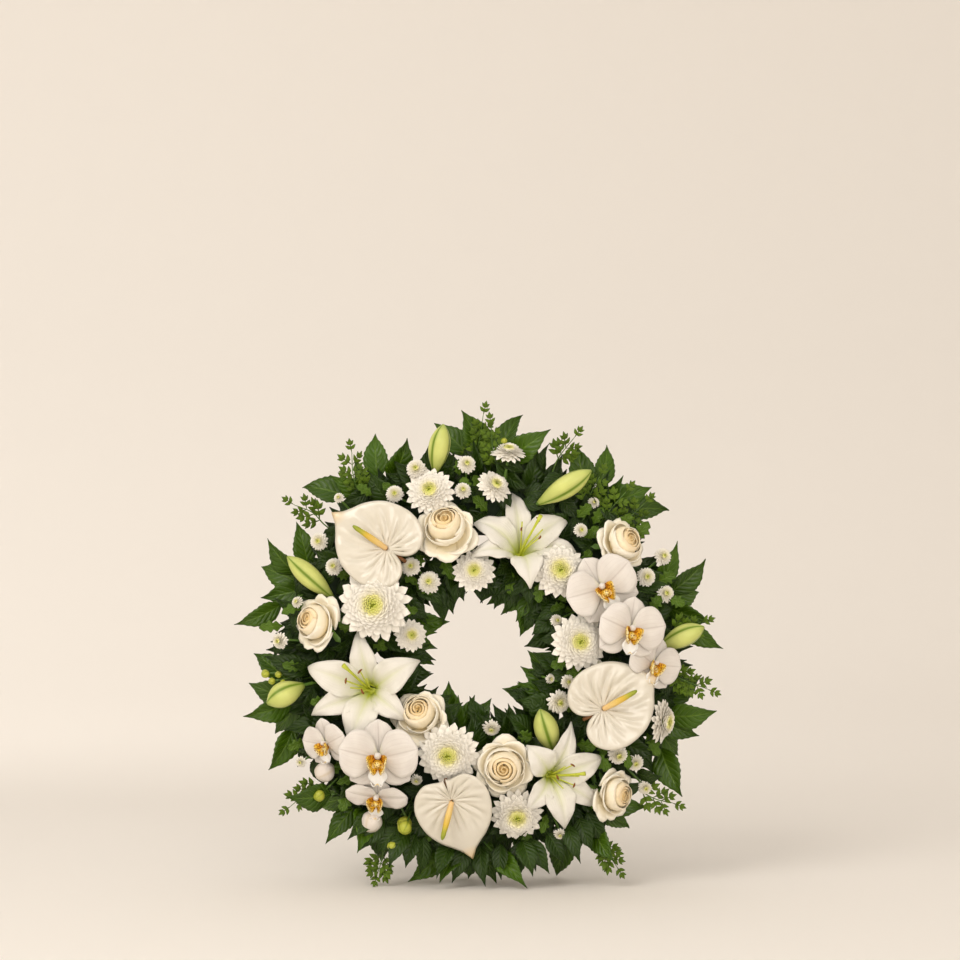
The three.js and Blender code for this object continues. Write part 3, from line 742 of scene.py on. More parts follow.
rosePetalSet = rosePetals(rosePlan)
calyxCup = bead(9, [(-0.46, 0.03), (-0.43, 0.07), (-0.38, 0.09), (-0.32, 0.08), (-0.28, 0.04)])
roseSepal = sheet(2, 5, spoon(-0.5, 0.05, 0.05), 0.012)
toHinge = Matrix.Translation((0, 0, rosePlan["hinge"]))
fromHinge = Matrix.Translation((0, 0, -rosePlan["hinge"]))
for number, (clock, reach, ahead, size, lean, leanTo, nodTo, nod) in enumerate(rosePlan["heads"], 1):
    centre, look, head = headAt(clock, reach, ahead, size * rosePlan["grow"], lean, leanTo)
    toward = math.radians(nodTo)
    hinge = Vector((-math.cos(toward), math.sin(toward), 0))
    copies = []
    for model, turn, tone, share in rosePetalSet:
        bow = math.radians(nod * share + wobble(2 + 4 * (tone > 0.7)))
        cup = fromHinge @ Matrix.Rotation(bow, 4, hinge) @ toHinge
        scale = Matrix.Diagonal((1 + wobble(0.03), 1 + wobble(0.03), 1 + wobble(0.03), 1))
        slip = Matrix.Translation((wobble(0.012), wobble(0.012), wobble(0.008))) if tone < 0.34 else still
        spin = Matrix.Rotation(-math.radians(turn + 61 * number + wobble(10)), 4, "Z")
        copies.append((model, head @ cup @ slip @ spin @ scale, tone + wobble(0.03)))
    build(f"rose_petals_{number}", copies, "rose", (f"rose_{number}",))
    greens.append((calyxCup, head, 0.5))
    for k in range(rosePlan["sepals"]):
        spot = petalPlace(72 * k, 0.06, -0.37, 96, 0.11, 0.34, wobble(8))
        greens.append((roseSepal, head @ spot, dice.random()))
    stalkTo(centre - look * size * 0.42, look, clock, reach, 3)
say("roses")

# Lilies.

lilyPlan = {
    "heads": [  # clock, reach, ahead, size, lean, leaned to, where the stamens sweep to
        (21, 144, 108, 138, 34, 10, 40), (149, 175, 112, 130, 14, 90, 80),
        (253, 145, 112, 148, 10, 300, 320)],
    "spread": [  # each petal's turn and length
        [(-4, 1.2), (56, 1.03), (94, 1.0), (171, 0.74), (262, 0.86), (304, 0.95)],
        [(24, 0.98), (72, 1.0), (122, 1.06), (164, 0.94), (216, 0.76), (322, 0.72)],
        [(-10, 0.94), (60, 0.92), (126, 0.78), (196, 0.86), (246, 1.0), (290, 1.06)]],
    "outline": [
        (0, 0.26), (0.15, 0.46), (0.40, 0.96), (0.52, 1), (0.70, 0.76), (0.86, 0.36), (0.94, 0.14),
        (1, 0.02)],
    "line": [(0.035, -0.26), (0.09, 0.03), (0.33, 0.14), (0.575, -0.05)],  # a petal's reach and height
    "throat": -0.22,  # the height where the filaments start
}


def lilyPetal(width, drop, phase, curled):
    a, b, c, d = lilyPlan["line"]

    def shape(side, way):
        back = 1 - way
        y, z = [back ** 3 * a[i] + 3 * way * back ** 2 * b[i] + 3 * way ** 2 * back * c[i]
                + way ** 3 * (d[i] - (0, drop)[i]) for i in (0, 1)]
        half = width / 2 * soft(way, lilyPlan["outline"])
        cup = 0.06 * side ** 2 * np.clip(1 - way * 1.25, 0, 1) - 0.035 * side ** 2 * np.clip(way - 0.45, 0, 1)
        groove = -0.018 * np.exp(-(side / 0.13) ** 2) + 0.005 * np.exp(-((np.abs(side) - 0.3) / 0.12) ** 2)
        ruffle = 0.020 * np.sin(way * 25 + phase + 1.5 * side) * np.abs(side) ** 3 * np.sin(way * math.pi)
        sway = 0.012 * np.sin(way * 5 + phase) * way
        curl = np.clip((way - 0.80) / 0.20, 0, 1) ** 2 * (0.1 + 0.6 * curled)
        z = z + cup + groove * np.sin(way * math.pi) + ruffle - 0.09 * curl
        return stack(side * half + sway, y - 0.07 * curl, z)
    return shape


lilyOuter = [sheet(10, 18, lilyPetal(0.225, 0.03, phase, curled), 0.011)
             for phase, curled in ((0.0, 0.2), (2.1, 1), (4.0, 0.5))]
lilyInner = [sheet(12, 18, lilyPetal(0.295, 0.0, phase, curled), 0.011)
             for phase, curled in ((1.1, 0.9), (3.2, 0.3), (5.3, 0.8))]
lilyTube = bead(12, [
    (-0.32, 0.02), (-0.30, 0.045), (-0.25, 0.058), (-0.20, 0.060), (-0.175, 0.048), (-0.172, 0.02)])
antherBean = rod([(0, 0, -0.026), (0.003, 0, -0.015), (0.004, 0, 0), (0.003, 0, 0.015), (0, 0, 0.026)],
                 [0.004, 0.008, 0.009, 0.008, 0.004], 7)
filaments, anthers = [], []


def threeSided(turn, way):  # the pistil's swollen end
    return 1 + 0.2 * np.cos(3 * turn) * way ** 6


for number, (clock, reach, ahead, size, lean, leanTo, sweep) in enumerate(lilyPlan["heads"], 1):
    centre, look, head = headAt(clock, reach, ahead, size, lean, leanTo)
    copies = []
    for k, (turn, long) in enumerate(lilyPlan["spread"][number - 1]):
        inner = k % 2
        model = (lilyInner if inner else lilyOuter)[k // 2]
        copies.append((model, head @ petalPlace(turn, 0, 0.018 * inner, 90, 1, long), dice.random()))
    build(f"lily_petals_{number}", copies, "lily", (f"lily_{number}",))
    filaments.append((lilyTube, head, 0.9))
    throat = Vector((0, 0, lilyPlan["throat"]))
    pull = Vector((math.sin(math.radians(sweep)), math.cos(math.radians(sweep)), 0))
    for k in range(6):
        a = math.radians(60 * k + 30 + wobble(10))
        spread = Vector((math.sin(a), math.cos(a), 0)) * (0.10 + wobble(0.02)) + pull * (0.10 + wobble(0.02))
        end = spread + Vector((0, 0, 0.17 + wobble(0.02)))
        filament = stem([throat, spread * 0.22 + Vector((0, 0, -0.05)), end], 0.0062, steps=5)
        filaments.append((filament, head, dice.random()))
        if k % 2 == 0:
            across = end.cross(Vector((0.3, 0.2, 1))).normalized()
            across = across.to_track_quat("Z", "Y").to_matrix().to_4x4()
            anthers.append((antherBean, head @ Matrix.Translation(end + Vector((0, 0, 0.008)))
                            @ Matrix.Rotation(wobble(0.5), 4, "Z") @ across, dice.random()))
    line = smooth([throat, pull * 0.05 + Vector((0, 0, -0.03)), pull * 0.26 + Vector((0, 0, 0.21))], 5)
    filaments.append((rod(line, [0.011] * (len(line) - 2) + [0.014, 0.020], 9, threeSided), head, 1))
    stalkTo(centre - look * size * 0.27, look, clock, reach, 3)
build("lily_filaments", filaments, "filament")
build("lily_anthers", anthers, "anther")
say("lilies")

# Lily buds.

lilyBudPlan = {
    "buds": [  # base and tip, each as clock, reach, ahead, then thickness
        ((346, 232, 84), (351, 290, 94), 27), ((291, 197, 84), (297, 269, 96), 26),
        ((21, 201, 96), (31, 267, 112), 28), ((88, 225, 80), (83, 281, 95), 28),
        ((143, 153, 86), (132, 100, 110), 30), ((260, 223, 84), (257, 272, 95), 32)],
    "profile": [(0, 0.20), (0.1, 0.42), (0.3, 0.82), (0.52, 1), (0.72, 0.90), (0.88, 0.56), (1, 0.10)],
}


def budSwell(turn, way):  # three flat sides with a groove between
    groove = 0.10 * np.abs(np.cos(1.5 * turn)) ** 14 * np.sin(way * math.pi) ** 0.5
    return 1 - groove + 0.045 * np.cos(3 * turn + math.pi) * np.sin(way * math.pi)


ways = np.linspace(0, 1, 18)
budBody = rod([(0, w, 0) for w in ways], 0.5 * soft(ways, lilyBudPlan["profile"]), 24, budSwell)
for number, (base, tip, thick) in enumerate(lilyBudPlan["buds"], 1):
    foot, end = place(*base), place(*tip)
    length = (end - foot).length
    spot = (along(foot, end, front, length) @ Matrix.Rotation(math.radians(25 + 40 * number), 4, "Y")
            @ Matrix.Diagonal((thick / length, 1, thick / length, 1)))
    build(f"lily_bud_skin_{number}", [(budBody, spot, 0.5)], "lilyBud", (f"lily_bud_{number}",))
    addStem([*outOfFoam(*base[:2]), foot, foot.lerp(end, 0.05)], 2.2, 1)
say("lily buds")

# Orchids.

orchidPlan = {
    "heads": [  # clock, reach, ahead, size, lean, leaned to, turn, how tall (less than 1 is folded)
        (61, 172, 129, 86, 8, 90, -30, 1), (80, 187, 136, 81, 14, 100, 10, 1),
        (93, 214, 112, 69, 24, 95, 20, 1), (225, 176, 130, 92, 8, 220, 0, 1),
        (240, 219, 112, 62, 34, 250, -10, 1), (216, 216, 110, 74, 30, 200, 6, 0.62)],
    "broad": [(0, 0.14), (0.12, 0.52), (0.32, 0.92), (0.55, 1), (0.78, 0.86), (0.93, 0.52), (1, 0.16)],
    "sepal": [(0, 0.2), (0.2, 0.62), (0.5, 1), (0.75, 0.86), (0.92, 0.5), (1, 0.12)],
    "lipMiddle": [(0, 0.5), (0.3, 0.62), (0.6, 1), (0.8, 0.7), (1, 0.2)],
    "lipSide": [(0, 0.5), (0.4, 0.95), (0.7, 1), (1, 0.5)],
    "lipSize": 1.3,
    "tipRoot": (222, 200),  # the spray's end: its root, then its buds as clock, reach, ahead, size
    "tipBuds": [(233, 242, 98, 26), (213, 248, 98, 28), (229, 266, 80, 16), (204, 231, 92, 19)],
    "green": 22,  # buds under this size are still green
    "pod": [(0, 0.4), (0.25, 0.85), (0.55, 1), (0.85, 0.66), (1, 0.2)],
}


def orchidPetal(width, reach, arch, outline, wave):
    def shape(side, way):
        half = width / 2 * soft(way, outline)
        y = 0.02 + (reach - 0.02) * way - 0.03 * side ** 2 * np.clip(way - 0.5, 0, 1)
        z = arch * np.sin(way * math.pi * 0.9) - 0.05 * side ** 2 * way * reach
        z = z + wave * np.sin(way * 11 + 3 * side) * np.abs(side) ** 2
        z = z - 0.024 * np.exp(-(side / 0.13) ** 2) * np.sin(way * math.pi) ** 0.7
        return stack(side * half, y, z)
    return shape


def lipLobe(width, length, curl, cup, outline):
    def shape(side, way):
        half = width / 2 * soft(way, outline)
        angle = curl * way
        y = length * np.sin(angle) / curl
        z = length * (1 - np.cos(angle)) / curl + cup * side ** 2 * (1 - 0.5 * way)
        return stack(side * half, y, z)
    return shape


def podSwell(turn, way):
    return 1 - 0.09 * np.abs(np.cos(1.5 * turn)) ** 10 * np.sin(way * math.pi) ** 0.6


orchidBroad = [sheet(12, 12, orchidPetal(0.66, 0.545, 0.05, orchidPlan["broad"], wave), 0.010)
               for wave in (0.012, 0.018)]
orchidSepal = [sheet(8, 10, orchidPetal(0.42, 0.52, 0.02, orchidPlan["sepal"], wave), 0.010)
               for wave in (0.004, 0.007)]
lipMiddle = sheet(6, 8, lipLobe(0.20, 0.24, -0.8, 0.05, orchidPlan["lipMiddle"]), 0.010)
lipSide = sheet(7, 7, lipLobe(0.21, 0.19, 1.1, 0.035, orchidPlan["lipSide"]), 0.012)
lipBeard = stem([(0, 0.21, 0), (0.04, 0.24, 0.01), (0.065, 0.20, 0.04)], 0.006, 5, 3)
lipCallus = rod([(0, -0.04, 0.02), (0, -0.055, 0.07), (0, -0.05, 0.12)], [0.045, 0.055, 0.034], 9)
column = rod([(0, 0.01, -0.02), (0, 0.025, 0.03), (0, 0.045, 0.08), (0, 0.050, 0.125), (0, 0.036, 0.15)],
             [0.036, 0.040, 0.046, 0.048, 0.032], 10)
lips = []
for number, (clock, reach, ahead, size, lean, leanTo, turn, fold) in enumerate(orchidPlan["heads"], 1):
    centre, look, head = headAt(clock, reach, ahead, size, lean, leanTo, turn)
    folded = head @ Matrix.Diagonal((1, fold, 1, 1))
    copies = []
    for k, angle in enumerate((0, 128, 232)):
        spot = petalPlace(angle + wobble(2), 0, -0.035, 90, 1, 1 + wobble(0.03))
        copies.append((orchidSepal[k % 2], folded @ spot, dice.random()))
    for k, angle in enumerate((74, 286)):
        spot = petalPlace(angle + wobble(2), 0, 0.015 + 0.01 * k, 88, 1, 1 + wobble(0.03))
        copies.append((orchidBroad[k], folded @ spot, dice.random()))
    copies.append((column, head, 0.5))
    build(f"orchid_petals_{number}", copies, "orchid", (f"orchid_{number}",))
    mouth = head @ Matrix.Scale(orchidPlan["lipSize"], 4)
    lips.append((lipMiddle, mouth @ petalPlace(180, 0.05, 0.05, 66, 1, 1), 0))
    for side in (-1, 1):
        lips.append((lipSide, mouth @ petalPlace(180 - 62 * side, 0.02, 0.035, 58, 1, 1, 15 * side), 1))
        lips.append((lipBeard, mouth @ petalPlace(180, 0.05, 0.05, 66, side, 1), 0))
    lips.append((lipCallus, mouth, 1))
    stalkTo(centre - look * 3, look, clock, reach, 1.8)
build("orchid_lips", lips, "lip")

podWays = np.linspace(0, 1, 10)
pod = rod([(0, 0, w - 0.5) for w in podWays], 0.5 * soft(podWays, orchidPlan["pod"]), 18, podSwell)
pale, fresh = [], []
fork = forkAt(*orchidPlan["tipRoot"], 0.5)
for k, (clock, reach, ahead, size) in enumerate(orchidPlan["tipBuds"]):
    centre, look, head = headAt(clock, reach, ahead, size, 50, clock, 50 * k)
    (fresh if size < orchidPlan["green"] else pale).append((pod, head, 0.5))
    branch(fork, centre - look * size * 0.45, look, 0.7)
build("orchid_buds", pale, "orchidBud", ("orchid_tip_1",))
build("green_buds", fresh, "greenBud")
say("orchids")

# Anthuriums.

anthuriumPlan = {
    # base and tip, each as clock, reach, ahead, then width, spadix length, lean, leaned to, how far the
    # spadix swings and how open the notch is
    "heads": [
        ((319, 176, 126), (314, 255, 118), 104, 52, 14, 320, 0, 1),
        ((113, 165, 128), (96, 221, 122), 104, 50, 10, 60, 0, 1),
        ((191, 182, 126), (182, 253, 112), 92, 48, 16, 180, -34, 0)],
    "heart": [  # degrees from the tip, then reach in shares of half the width
        (0, 1.53), (5, 1.37), (13, 1.27), (28, 1.20), (50, 1.13), (75, 1.05), (100, 1.01), (125, 0.93),
        (145, 0.80), (160, 0.62), (171, 0.40), (180, 0.10)],
    "veins": [20, 46, 72, 98, 124, 150, 174],
    "round": 0.985,  # the blade's two ends nearly meet at the notch
    "spadix": [(0, 3.0), (0.3, 3.8), (0.75, 3.0), (0.95, 2.1), (1, 1.1)],
    "grains": 33,
}


def spathe(reachShare, notch):
    def shape(side, way):
        angle = side * math.pi * anthuriumPlan["round"]
        degrees = np.abs(side) * 180 * anthuriumPlan["round"]
        rim = soft(degrees, anthuriumPlan["heart"])
        rim = rim * (1 + (reachShare - 1) * np.clip(1 - degrees / 60, 0, 1) ** 2)
        rim = rim + (0.66 - rim) * (1 - notch) * np.clip((degrees - 140) / 40, 0, 1)
        r = 0.05 + (rim - 0.05) * way
        swirl = np.sin(side * math.pi) * 0.28 * way * (1 - way)
        z = 0.10 * way ** 2 * np.abs(np.sin(angle)) ** 1.5 + 0.05 * np.sin(way * math.pi)
        z = z - 0.05 * way ** 4 * np.clip(np.cos(angle), 0, 1) ** 8
        depth = 0.050 * np.sin(np.clip(way, 0, 1) ** 0.8 * math.pi) ** 0.7
        for vein in anthuriumPlan["veins"]:
            z = z - depth * np.exp(-((degrees - vein + 32 * way) / 5.5) ** 2)
        z = z + 0.016 * np.sin(degrees * 0.42 + way * 3) * way * (1 - way) * 4
        z = z - 0.03 * np.clip((way - 0.94) / 0.06, 0, 1)
        return stack(r * np.sin(angle + swirl), r * np.cos(angle + swirl), z)
    return shape


def grainSwell(turn, way):  # small grains, set askew from ring to ring
    grains = anthuriumPlan["grains"]
    return 1 + 0.07 * np.cos(8 * turn + grains * math.pi * np.round(way * grains) / grains)


grainWays = np.linspace(0, 1, anthuriumPlan["grains"] + 1)
redStems = []
for number, (base, tip, width, long, lean, leanTo, swing, notch) in enumerate(anthuriumPlan["heads"], 1):
    look = facing(leanTo, lean)
    foot, end = place(*base), place(*tip)
    half = width / 2
    model = sheet(110, 16, spathe((end - foot).length / half / anthuriumPlan["heart"][0][1], notch), 0.045)
    way = (end - foot).normalized()
    side = way.cross(look).normalized()
    up = side.cross(way)
    turned = Matrix((side, way, up)).transposed().to_4x4()
    spot = Matrix.Translation(foot) @ turned @ Matrix.Scale(half, 4)
    build(f"anthurium_spathe_{number}", [(model, spot, 0)], "spathe", (f"anthurium_{number}",))
    lift = Matrix.Rotation(math.radians(swing), 3, up) @ (way * 0.9 + up * 0.44).normalized()
    line = [foot + lift * long * w + up * (2 + 3 * math.sin(w * math.pi)) for w in grainWays]
    spadix = rod(line, soft(grainWays, anthuriumPlan["spadix"]), 16, grainSwell)
    build(f"anthurium_spadix_{number}", [(spadix, still, 0)], "spadix")
    stalkTo(foot - look * 2, look, *base[:2], 2.8)
    bend = [foot - look * 1.5, foot - way * 12 - look * 5, foot - way * 25 - look * 16]
    redStems.append((stem(bend, 2.4, 8), still, 0.5))
build("anthurium_stems", redStems, "redStem")
say("anthuriums")

# Leaves.

leafPlan = {
    "outline": [
        (0, 0.06), (0.07, 0.38), (0.22, 0.86), (0.36, 1), (0.54, 0.86), (0.72, 0.54), (0.87, 0.19),
        (1, 0.015)],
    "sprigs": 10, "leaves": 5,
    "low": [14, 66, 116], "other": [24, 52, 80],  # how far ahead a sprig's leaves lie
    "inner": [38, 118, 196, 284],
    "ground": 0.6,  # the lowest that a leaf's tip may be
    "scatter": 0.7549,  # the step that spreads loose leaves evenly over the ring's width
}


def leaf(rows, arch, teeth, fold, phase):
    def shape(side, way):
        outer = np.abs(side) > 0.99
        tooth = np.rint(way * rows) % 2 == 0
        half = 0.5 * soft(way, leafPlan["outline"])
        half = half * np.where(outer, np.where(tooth, 1 + teeth, 1 - teeth), 1)
        y = way + np.where(outer & tooth, 0.012, 0) * np.sin(way * math.pi)
        z = arch * np.sin(way * math.pi) + fold * np.abs(side) * np.sin(way * math.pi) ** 0.7
        z = z + 0.012 * np.sin(way * 14 + phase + side) * np.abs(side) - 0.04 * way ** 3
        quilt = 0.010 * np.cos(way * math.pi * 14 - np.abs(side) * 5)
        z = z + quilt * (1 - np.abs(side) ** 2) * np.abs(side) * 2
        return stack(side * half, y, z)
    return shape


broadLeaves = [sheet(6, 18, leaf(18, 0.09, 0.035, fold, phase), 0.012)
               for fold, phase in ((0.05, 0), (0.08, 1.7), (0.03, 3.1), (0.10, 4.4))]
bedLeaves = [sheet(4, 10, leaf(10, 0.10, 0.03, fold, phase), 0.014)
             for fold, phase in ((0.06, 1), (0.10, 2.7), (0.04, 4))]


def reachAt(clock, reach):  # as far as reach, or as far as the ground
    fall = -math.cos(math.radians(clock))
    return min(reach, (centreHeight - leafPlan["ground"]) / fall) if fall > 0 else reach


share = 360 / leafPlan["sprigs"]
for i in range(leafPlan["sprigs"]):
    clock = share * i + 3
    layers = leafPlan["low"] if abs(clock - 180) < 50 else leafPlan["other"]
    start, end = place(clock, foamOuter - 18, 51), place(clock, 238, 51)
    addStem([start, end], 2.2, 0.3)
    copies = []
    for k in range(leafPlan["leaves"]):
        order = i * leafPlan["leaves"] + k
        angle = clock + (k - 2) * share / leafPlan["leaves"]
        reach = reachAt(angle, 296 + 13 * math.sin(order * 2.4))
        base = start.lerp(end, (0.62, 0.8, 1, 0.9, 0.7)[k])
        point = place(angle, reach, layers[(order * 2) % 3])
        joint = point + (base - point).normalized() * (64 + 5 * math.sin(order * 5.1))
        face = Vector((math.sin(order * 1.3) * 0.5, -1, math.cos(order * 2.1) * 0.4))
        copies.append((broadLeaves[order % 4], along(joint, point, face, 33 + 5 * math.sin(order * 1.7)),
                       0.55 + 0.4 * math.sin(order * 3.3)))
        addStem([base, base.lerp(joint, 0.5) + front * 2, joint], 1.0, 0.4)
    build(f"outer_leaves_{i + 1}", copies, "leaf", (f"outer_foliage_{i + 1}",))
for i, clock in enumerate(leafPlan["inner"]):
    start, end = place(clock, foamInner + 18, 52), place(clock, 122, 54)
    addStem([start, end], 2.2, 0.3)
    copies = []
    for k, side in enumerate((-30, -9, 11, 31)):
        base = start.lerp(end, (0.5, 0.95, 0.8, 0.65)[k])
        point = place(clock + side, 60 - 6 * (k % 2), 52 + 9 * (k % 3))
        joint = point + (base - point).normalized() * 56
        copies.append((broadLeaves[k], along(joint, point, front, 30), 0.3 + 0.15 * k))
        addStem([base, joint], 1.0, 0.4)
    build(f"inner_leaves_{i + 1}", copies, "leaf", (f"inner_foliage_{i + 1}",))

keepClear = []  # what a loose leaf stays out of: two ends and a radius
for plan, radius in ((lilyPlan, 46), (orchidPlan, 30), (rosePlan, None), (chrysanthemumPlan, None)):
    for clock, reach, ahead, size, *rest in plan["heads"]:
        centre = place(clock, reach, ahead)
        keepClear.append((centre, centre, radius or size * 0.42))
for entries, radius in ((lilyBudPlan["buds"], 21), (anthuriumPlan["heads"], 40)):
    keepClear += [(place(*base), place(*tip), radius) for base, tip, *rest in entries]


def crowds(base, tip):  # whether a loose leaf here would cut through a flower or a bud
    middle = base.lerp(tip, 0.5)
    for a, b, radius in keepClear:
        for point in (middle, tip):
            share = min(1, max(0, (point - a).dot(b - a) / max((b - a).length_squared, 1)))
            away = point - a.lerp(b, share)
            if math.hypot(away.x, away.z) < radius:
                return True
    return False


# A second row behind the flowers, inside and out, and a dark bed over the foam, all in the darker leaf colour
# that paints the shade of the gaps.
bed = []
for k in range(60):
    clock = 6 * k + 4 + wobble(2)
    reach = reachAt(clock, 264 + wobble(18))
    ahead = 74 + wobble(8)
    point, joint = place(clock, reach, ahead), place(clock + wobble(8), reach - 54, ahead - 8)
    if crowds(joint, point):
        point.y, joint.y = point.y + 18, joint.y + 14
    bed.append((broadLeaves[k % 4], along(joint, point, jitter(0.6), 28 + wobble(4)), 0.5 + wobble(0.4)))
for k in range(18):  # a close row that hangs to the ground
    clock = 146 + 4.1 * k
    point = place(clock, reachAt(clock, 288) - 3 - 5 * (k % 2), 92 + 11 * (k % 3))
    joint = place(clock + wobble(3), 238, 90)
    face = Vector((wobble(0.5), -1, 0))
    bed.append((broadLeaves[k % 4], along(joint, point, face, 25 + wobble(3)), 0.5 + wobble(0.4)))
for k in range(66):
    clock = 360 / 66 * k * 7 + wobble(3)
    layer = k % 3
    point = place(clock, 62 + 9 * layer + 6 * math.sin(k * 2.3), 66 + 11 * layer + wobble(4))
    way = (point - place(clock + wobble(20), 112 + 6 * layer, 60 + 9 * layer)).normalized()
    joint = point - way * (46 + wobble(6))
    bed.append((bedLeaves[layer], along(joint, point, jitter(0.6), 27 + wobble(4)), 0.5 + wobble(0.4)))
# these loose leaves take a low tone, which keeps them darker still: painted shade
for k in range(360):
    clock = golden * k
    reach = 104 + 146 * (k * leafPlan["scatter"] % 1)
    base = place(clock, reach, foamFront + 1 + dice.uniform(0, 8))
    point = place(clock + wobble(20), reach + wobble(40), foamFront + 8 + dice.uniform(0, 22))
    way = point - base
    point = base + way * (dice.uniform(32, 44) / max(way.length, 20))
    bed.append((bedLeaves[k % 3], along(base, point, jitter(0.7), 21 + wobble(4)), 0.12 + wobble(0.12)))
build("bed_leaves", bed, "paintedShadeLeaf")
backing = []  # leaves that close the gaps behind, in the darker leaf colour and a low tone: painted shade
for k in range(84):
    clock = 360 / 84 * k + wobble(2)
    ahead = 40 + 8 * (k % 2)
    point = place(clock, reachAt(clock, 262 + wobble(8)), ahead + 4)
    joint = place(clock + wobble(6), 182, ahead)
    backing.append((broadLeaves[k % 4], along(joint, point, front, 42), 0.12))
for k in range(44):
    clock = 360 / 44 * k + wobble(2)
    point = place(clock, 80 + wobble(6), 40 + 7 * (k % 2))
    backing.append((bedLeaves[k % 3], along(place(clock + wobble(6), 134, 38), point, front, 28), 0.12))
build("backing_leaves", backing, "paintedShadeLeaf")
say("broad leaves")


def lobedLeaf(phase):
    outline = [(0, 0.12), (0.12, 0.30), (0.26, 0.86), (0.36, 0.50), (0.52, 1), (0.64, 0.56), (0.80, 0.66),
               (0.92, 0.34), (1, 0.08)]

    def shape(side, way):
        half = 0.5 * soft(way, outline)
        y = way + 0.06 * np.abs(side) * np.sin(way * math.pi)
        z = 0.10 * np.sin(way * math.pi * 0.9) + 0.05 * np.abs(side)
        z = z + 0.02 * np.sin(way * 13 + phase) * np.abs(side)
        return stack(side * half, y, z)
    return shape


lobed = [sheet(4, 16, lobedLeaf(phase), 0.014) for phase in (0, 2, 4)]
copies = []
for k in range(160):
    clock = golden * k + 20
    reach = 112 + 138 * (k * leafPlan["scatter"] % 1)
    base = place(clock, reach, 84 + dice.uniform(0, 18) - 10)
    outwards = math.radians(clock + (180 if reach < 150 else 0) + wobble(50))
    point = base + Vector((math.sin(outwards), -0.3, math.cos(outwards))) * dice.uniform(20, 32)
    if not crowds(base, point):
        spot = along(base, point, jitter(0.6), dice.uniform(15, 22))
        copies.append((lobed[k % 3], spot, 0.5 + wobble(0.4)))
build("chrysanthemum_leaves", copies, "lightLeaf")

fernPlan = [  # foot and tip of each sprig as x and z, then how far ahead
    ((-196, 452), (-232, 476), 84), ((-150, 486), (-160, 541), 84), ((-12, 520), (4, 588), 76),
    ((22, 520), (14, 574), 84), ((150, 452), (182, 492), 84), ((160, 430), (206, 478), 76),
    ((130, 470), (150, 512), 80), ((236, 318), (276, 330), 84), ((232, 268), (284, 246), 84),
    ((196, 120), (240, 104), 84), ((150, 56), (170, 26), 90), ((-196, 128), (-236, 100), 84),
    ((-120, 44), (-128, 16), 84), ((96, 530), (118, 560), 74)]


def bladeShape(side, way):
    half = 0.5 * np.interp(way, [0, 0.33, 0.67, 1], [0.3, 1, 0.72, 0.06])
    return stack(side * half, way, 0.10 * np.sin(way * math.pi) + 0.08 * np.abs(side))


blade = sheet(2, 3, bladeShape, 0.05)
blades = []
for side in (-1, 1):
    for rise, lean, size in ((0.26, 50, 0.44), (0.54, 40, 0.38)):
        spot = Matrix.Translation((0, rise, 0)) @ Matrix.Rotation(math.radians(-side * lean), 4, "Z")
        blades.append((blade, spot @ Matrix.Diagonal((0.56 * size, size, size, 1)), 0))
blades.append((blade, Matrix.Translation((0, 0.52, 0)) @ Matrix.Diagonal((0.26, 0.48, 0.48, 1)), 0))
blades.append((blade, Matrix.Diagonal((0.08, 0.75, 0.3, 1)), 0))
leaflet = together(blades)
copies = []
for (footX, footZ), (tipX, tipZ), ahead in fernPlan:
    foot = Vector((footX, backPlane - ahead + 10, footZ))
    end = Vector((tipX, backPlane - ahead, tipZ))
    bow = Vector((wobble(5), -4, wobble(5)))
    line = smooth([foot, foot.lerp(end, 0.5) + bow, end], 6)
    reachOut(foot, foot, 0.9, 0.8)
    stalks.append((rod(line, np.linspace(0.9, 0.45, len(line)), 5), still, 0.8))
    way = (end - foot).normalized()
    pairs = max(3, round((end - foot).length / 15))
    for k in range(pairs):
        t = 0.16 + 0.74 * k / pairs
        joint = line[min(len(line) - 1, round(t * (len(line) - 1)))]
        for side in (-1, 1):
            aside = way.cross(front) * side * (1.1 - 0.3 * t)
            direction = (way * 0.9 + aside + Vector((0, wobble(0.4), 0))).normalized()
            length = 27 - 8 * t + wobble(2)
            spot = along(joint, joint + direction * length, jitter(0.7), length)
            copies.append((leaflet, spot, 0.5 + wobble(0.4)))
    copies.append((leaflet, along(end, end + way * 19, front, 19), 0.6))
build("fern_leaflets", copies, "fern")
say("ferns and small leaves")

# Small green buds, and all the stems.

smallBudPlan = [  # x, z, ahead and size of round buds on thin stems
    (147, 184, 112, 16), (-93, 77, 112, 18), (-200, 115, 100, 15), (-109, 52, 100, 13),
    (-268, 265, 84, 11), (-260, 256, 84, 9), (-252, 264, 82, 9), (-246, 254, 84, 8), (30, 556, 84, 8)]
copies = []
for x, z, ahead, size in smallBudPlan:
    centre = Vector((x, backPlane - ahead, z))
    outwards = Vector((x, 0, z - centreHeight)).normalized()
    look = (outwards * 0.6 + front * 0.7).normalized()
    copies.append((pod, flowerFrame(centre, look, 40 * size, size), 0.5))
    reachOut(centre, centre - look * size * 0.45, 1.1, 1)
build("round_buds", copies, "greenBud")
build("flower_stems", stalks, "stem")
build("calyxes", greens, "stem")
say("buds and stems")

# Foam and tray.

foamPlan = {"back": 3.2, "middle": 27, "shoulder": 52, "crown": 12.8, "rough": 0.7}
trayPlan = {"gap": 0.6, "wall": 2.4, "rim": 44, "edge": 0.6, "flank": 1.5}


def ringBody(corners, section):  # section maps the turn and the degrees round it to reach and ahead
    bpy.ops.object.select_all(action="DESELECT")
    bpy.ops.mesh.primitive_torus_add(major_segments=160, minor_segments=corners, major_radius=2,
                                     minor_radius=1)
    model = grab(bpy.context.object)
    x, y, z = model["points"].T
    turn = np.arctan2(y, x)
    reach, ahead = section(turn, np.degrees(np.arctan2(z, np.hypot(x, y) - 2)))
    model["points"] = stack(reach * np.sin(turn), backPlane - ahead, centreHeight + reach * np.cos(turn))
    return turnedOver(model)  # the ring is laid the other way round


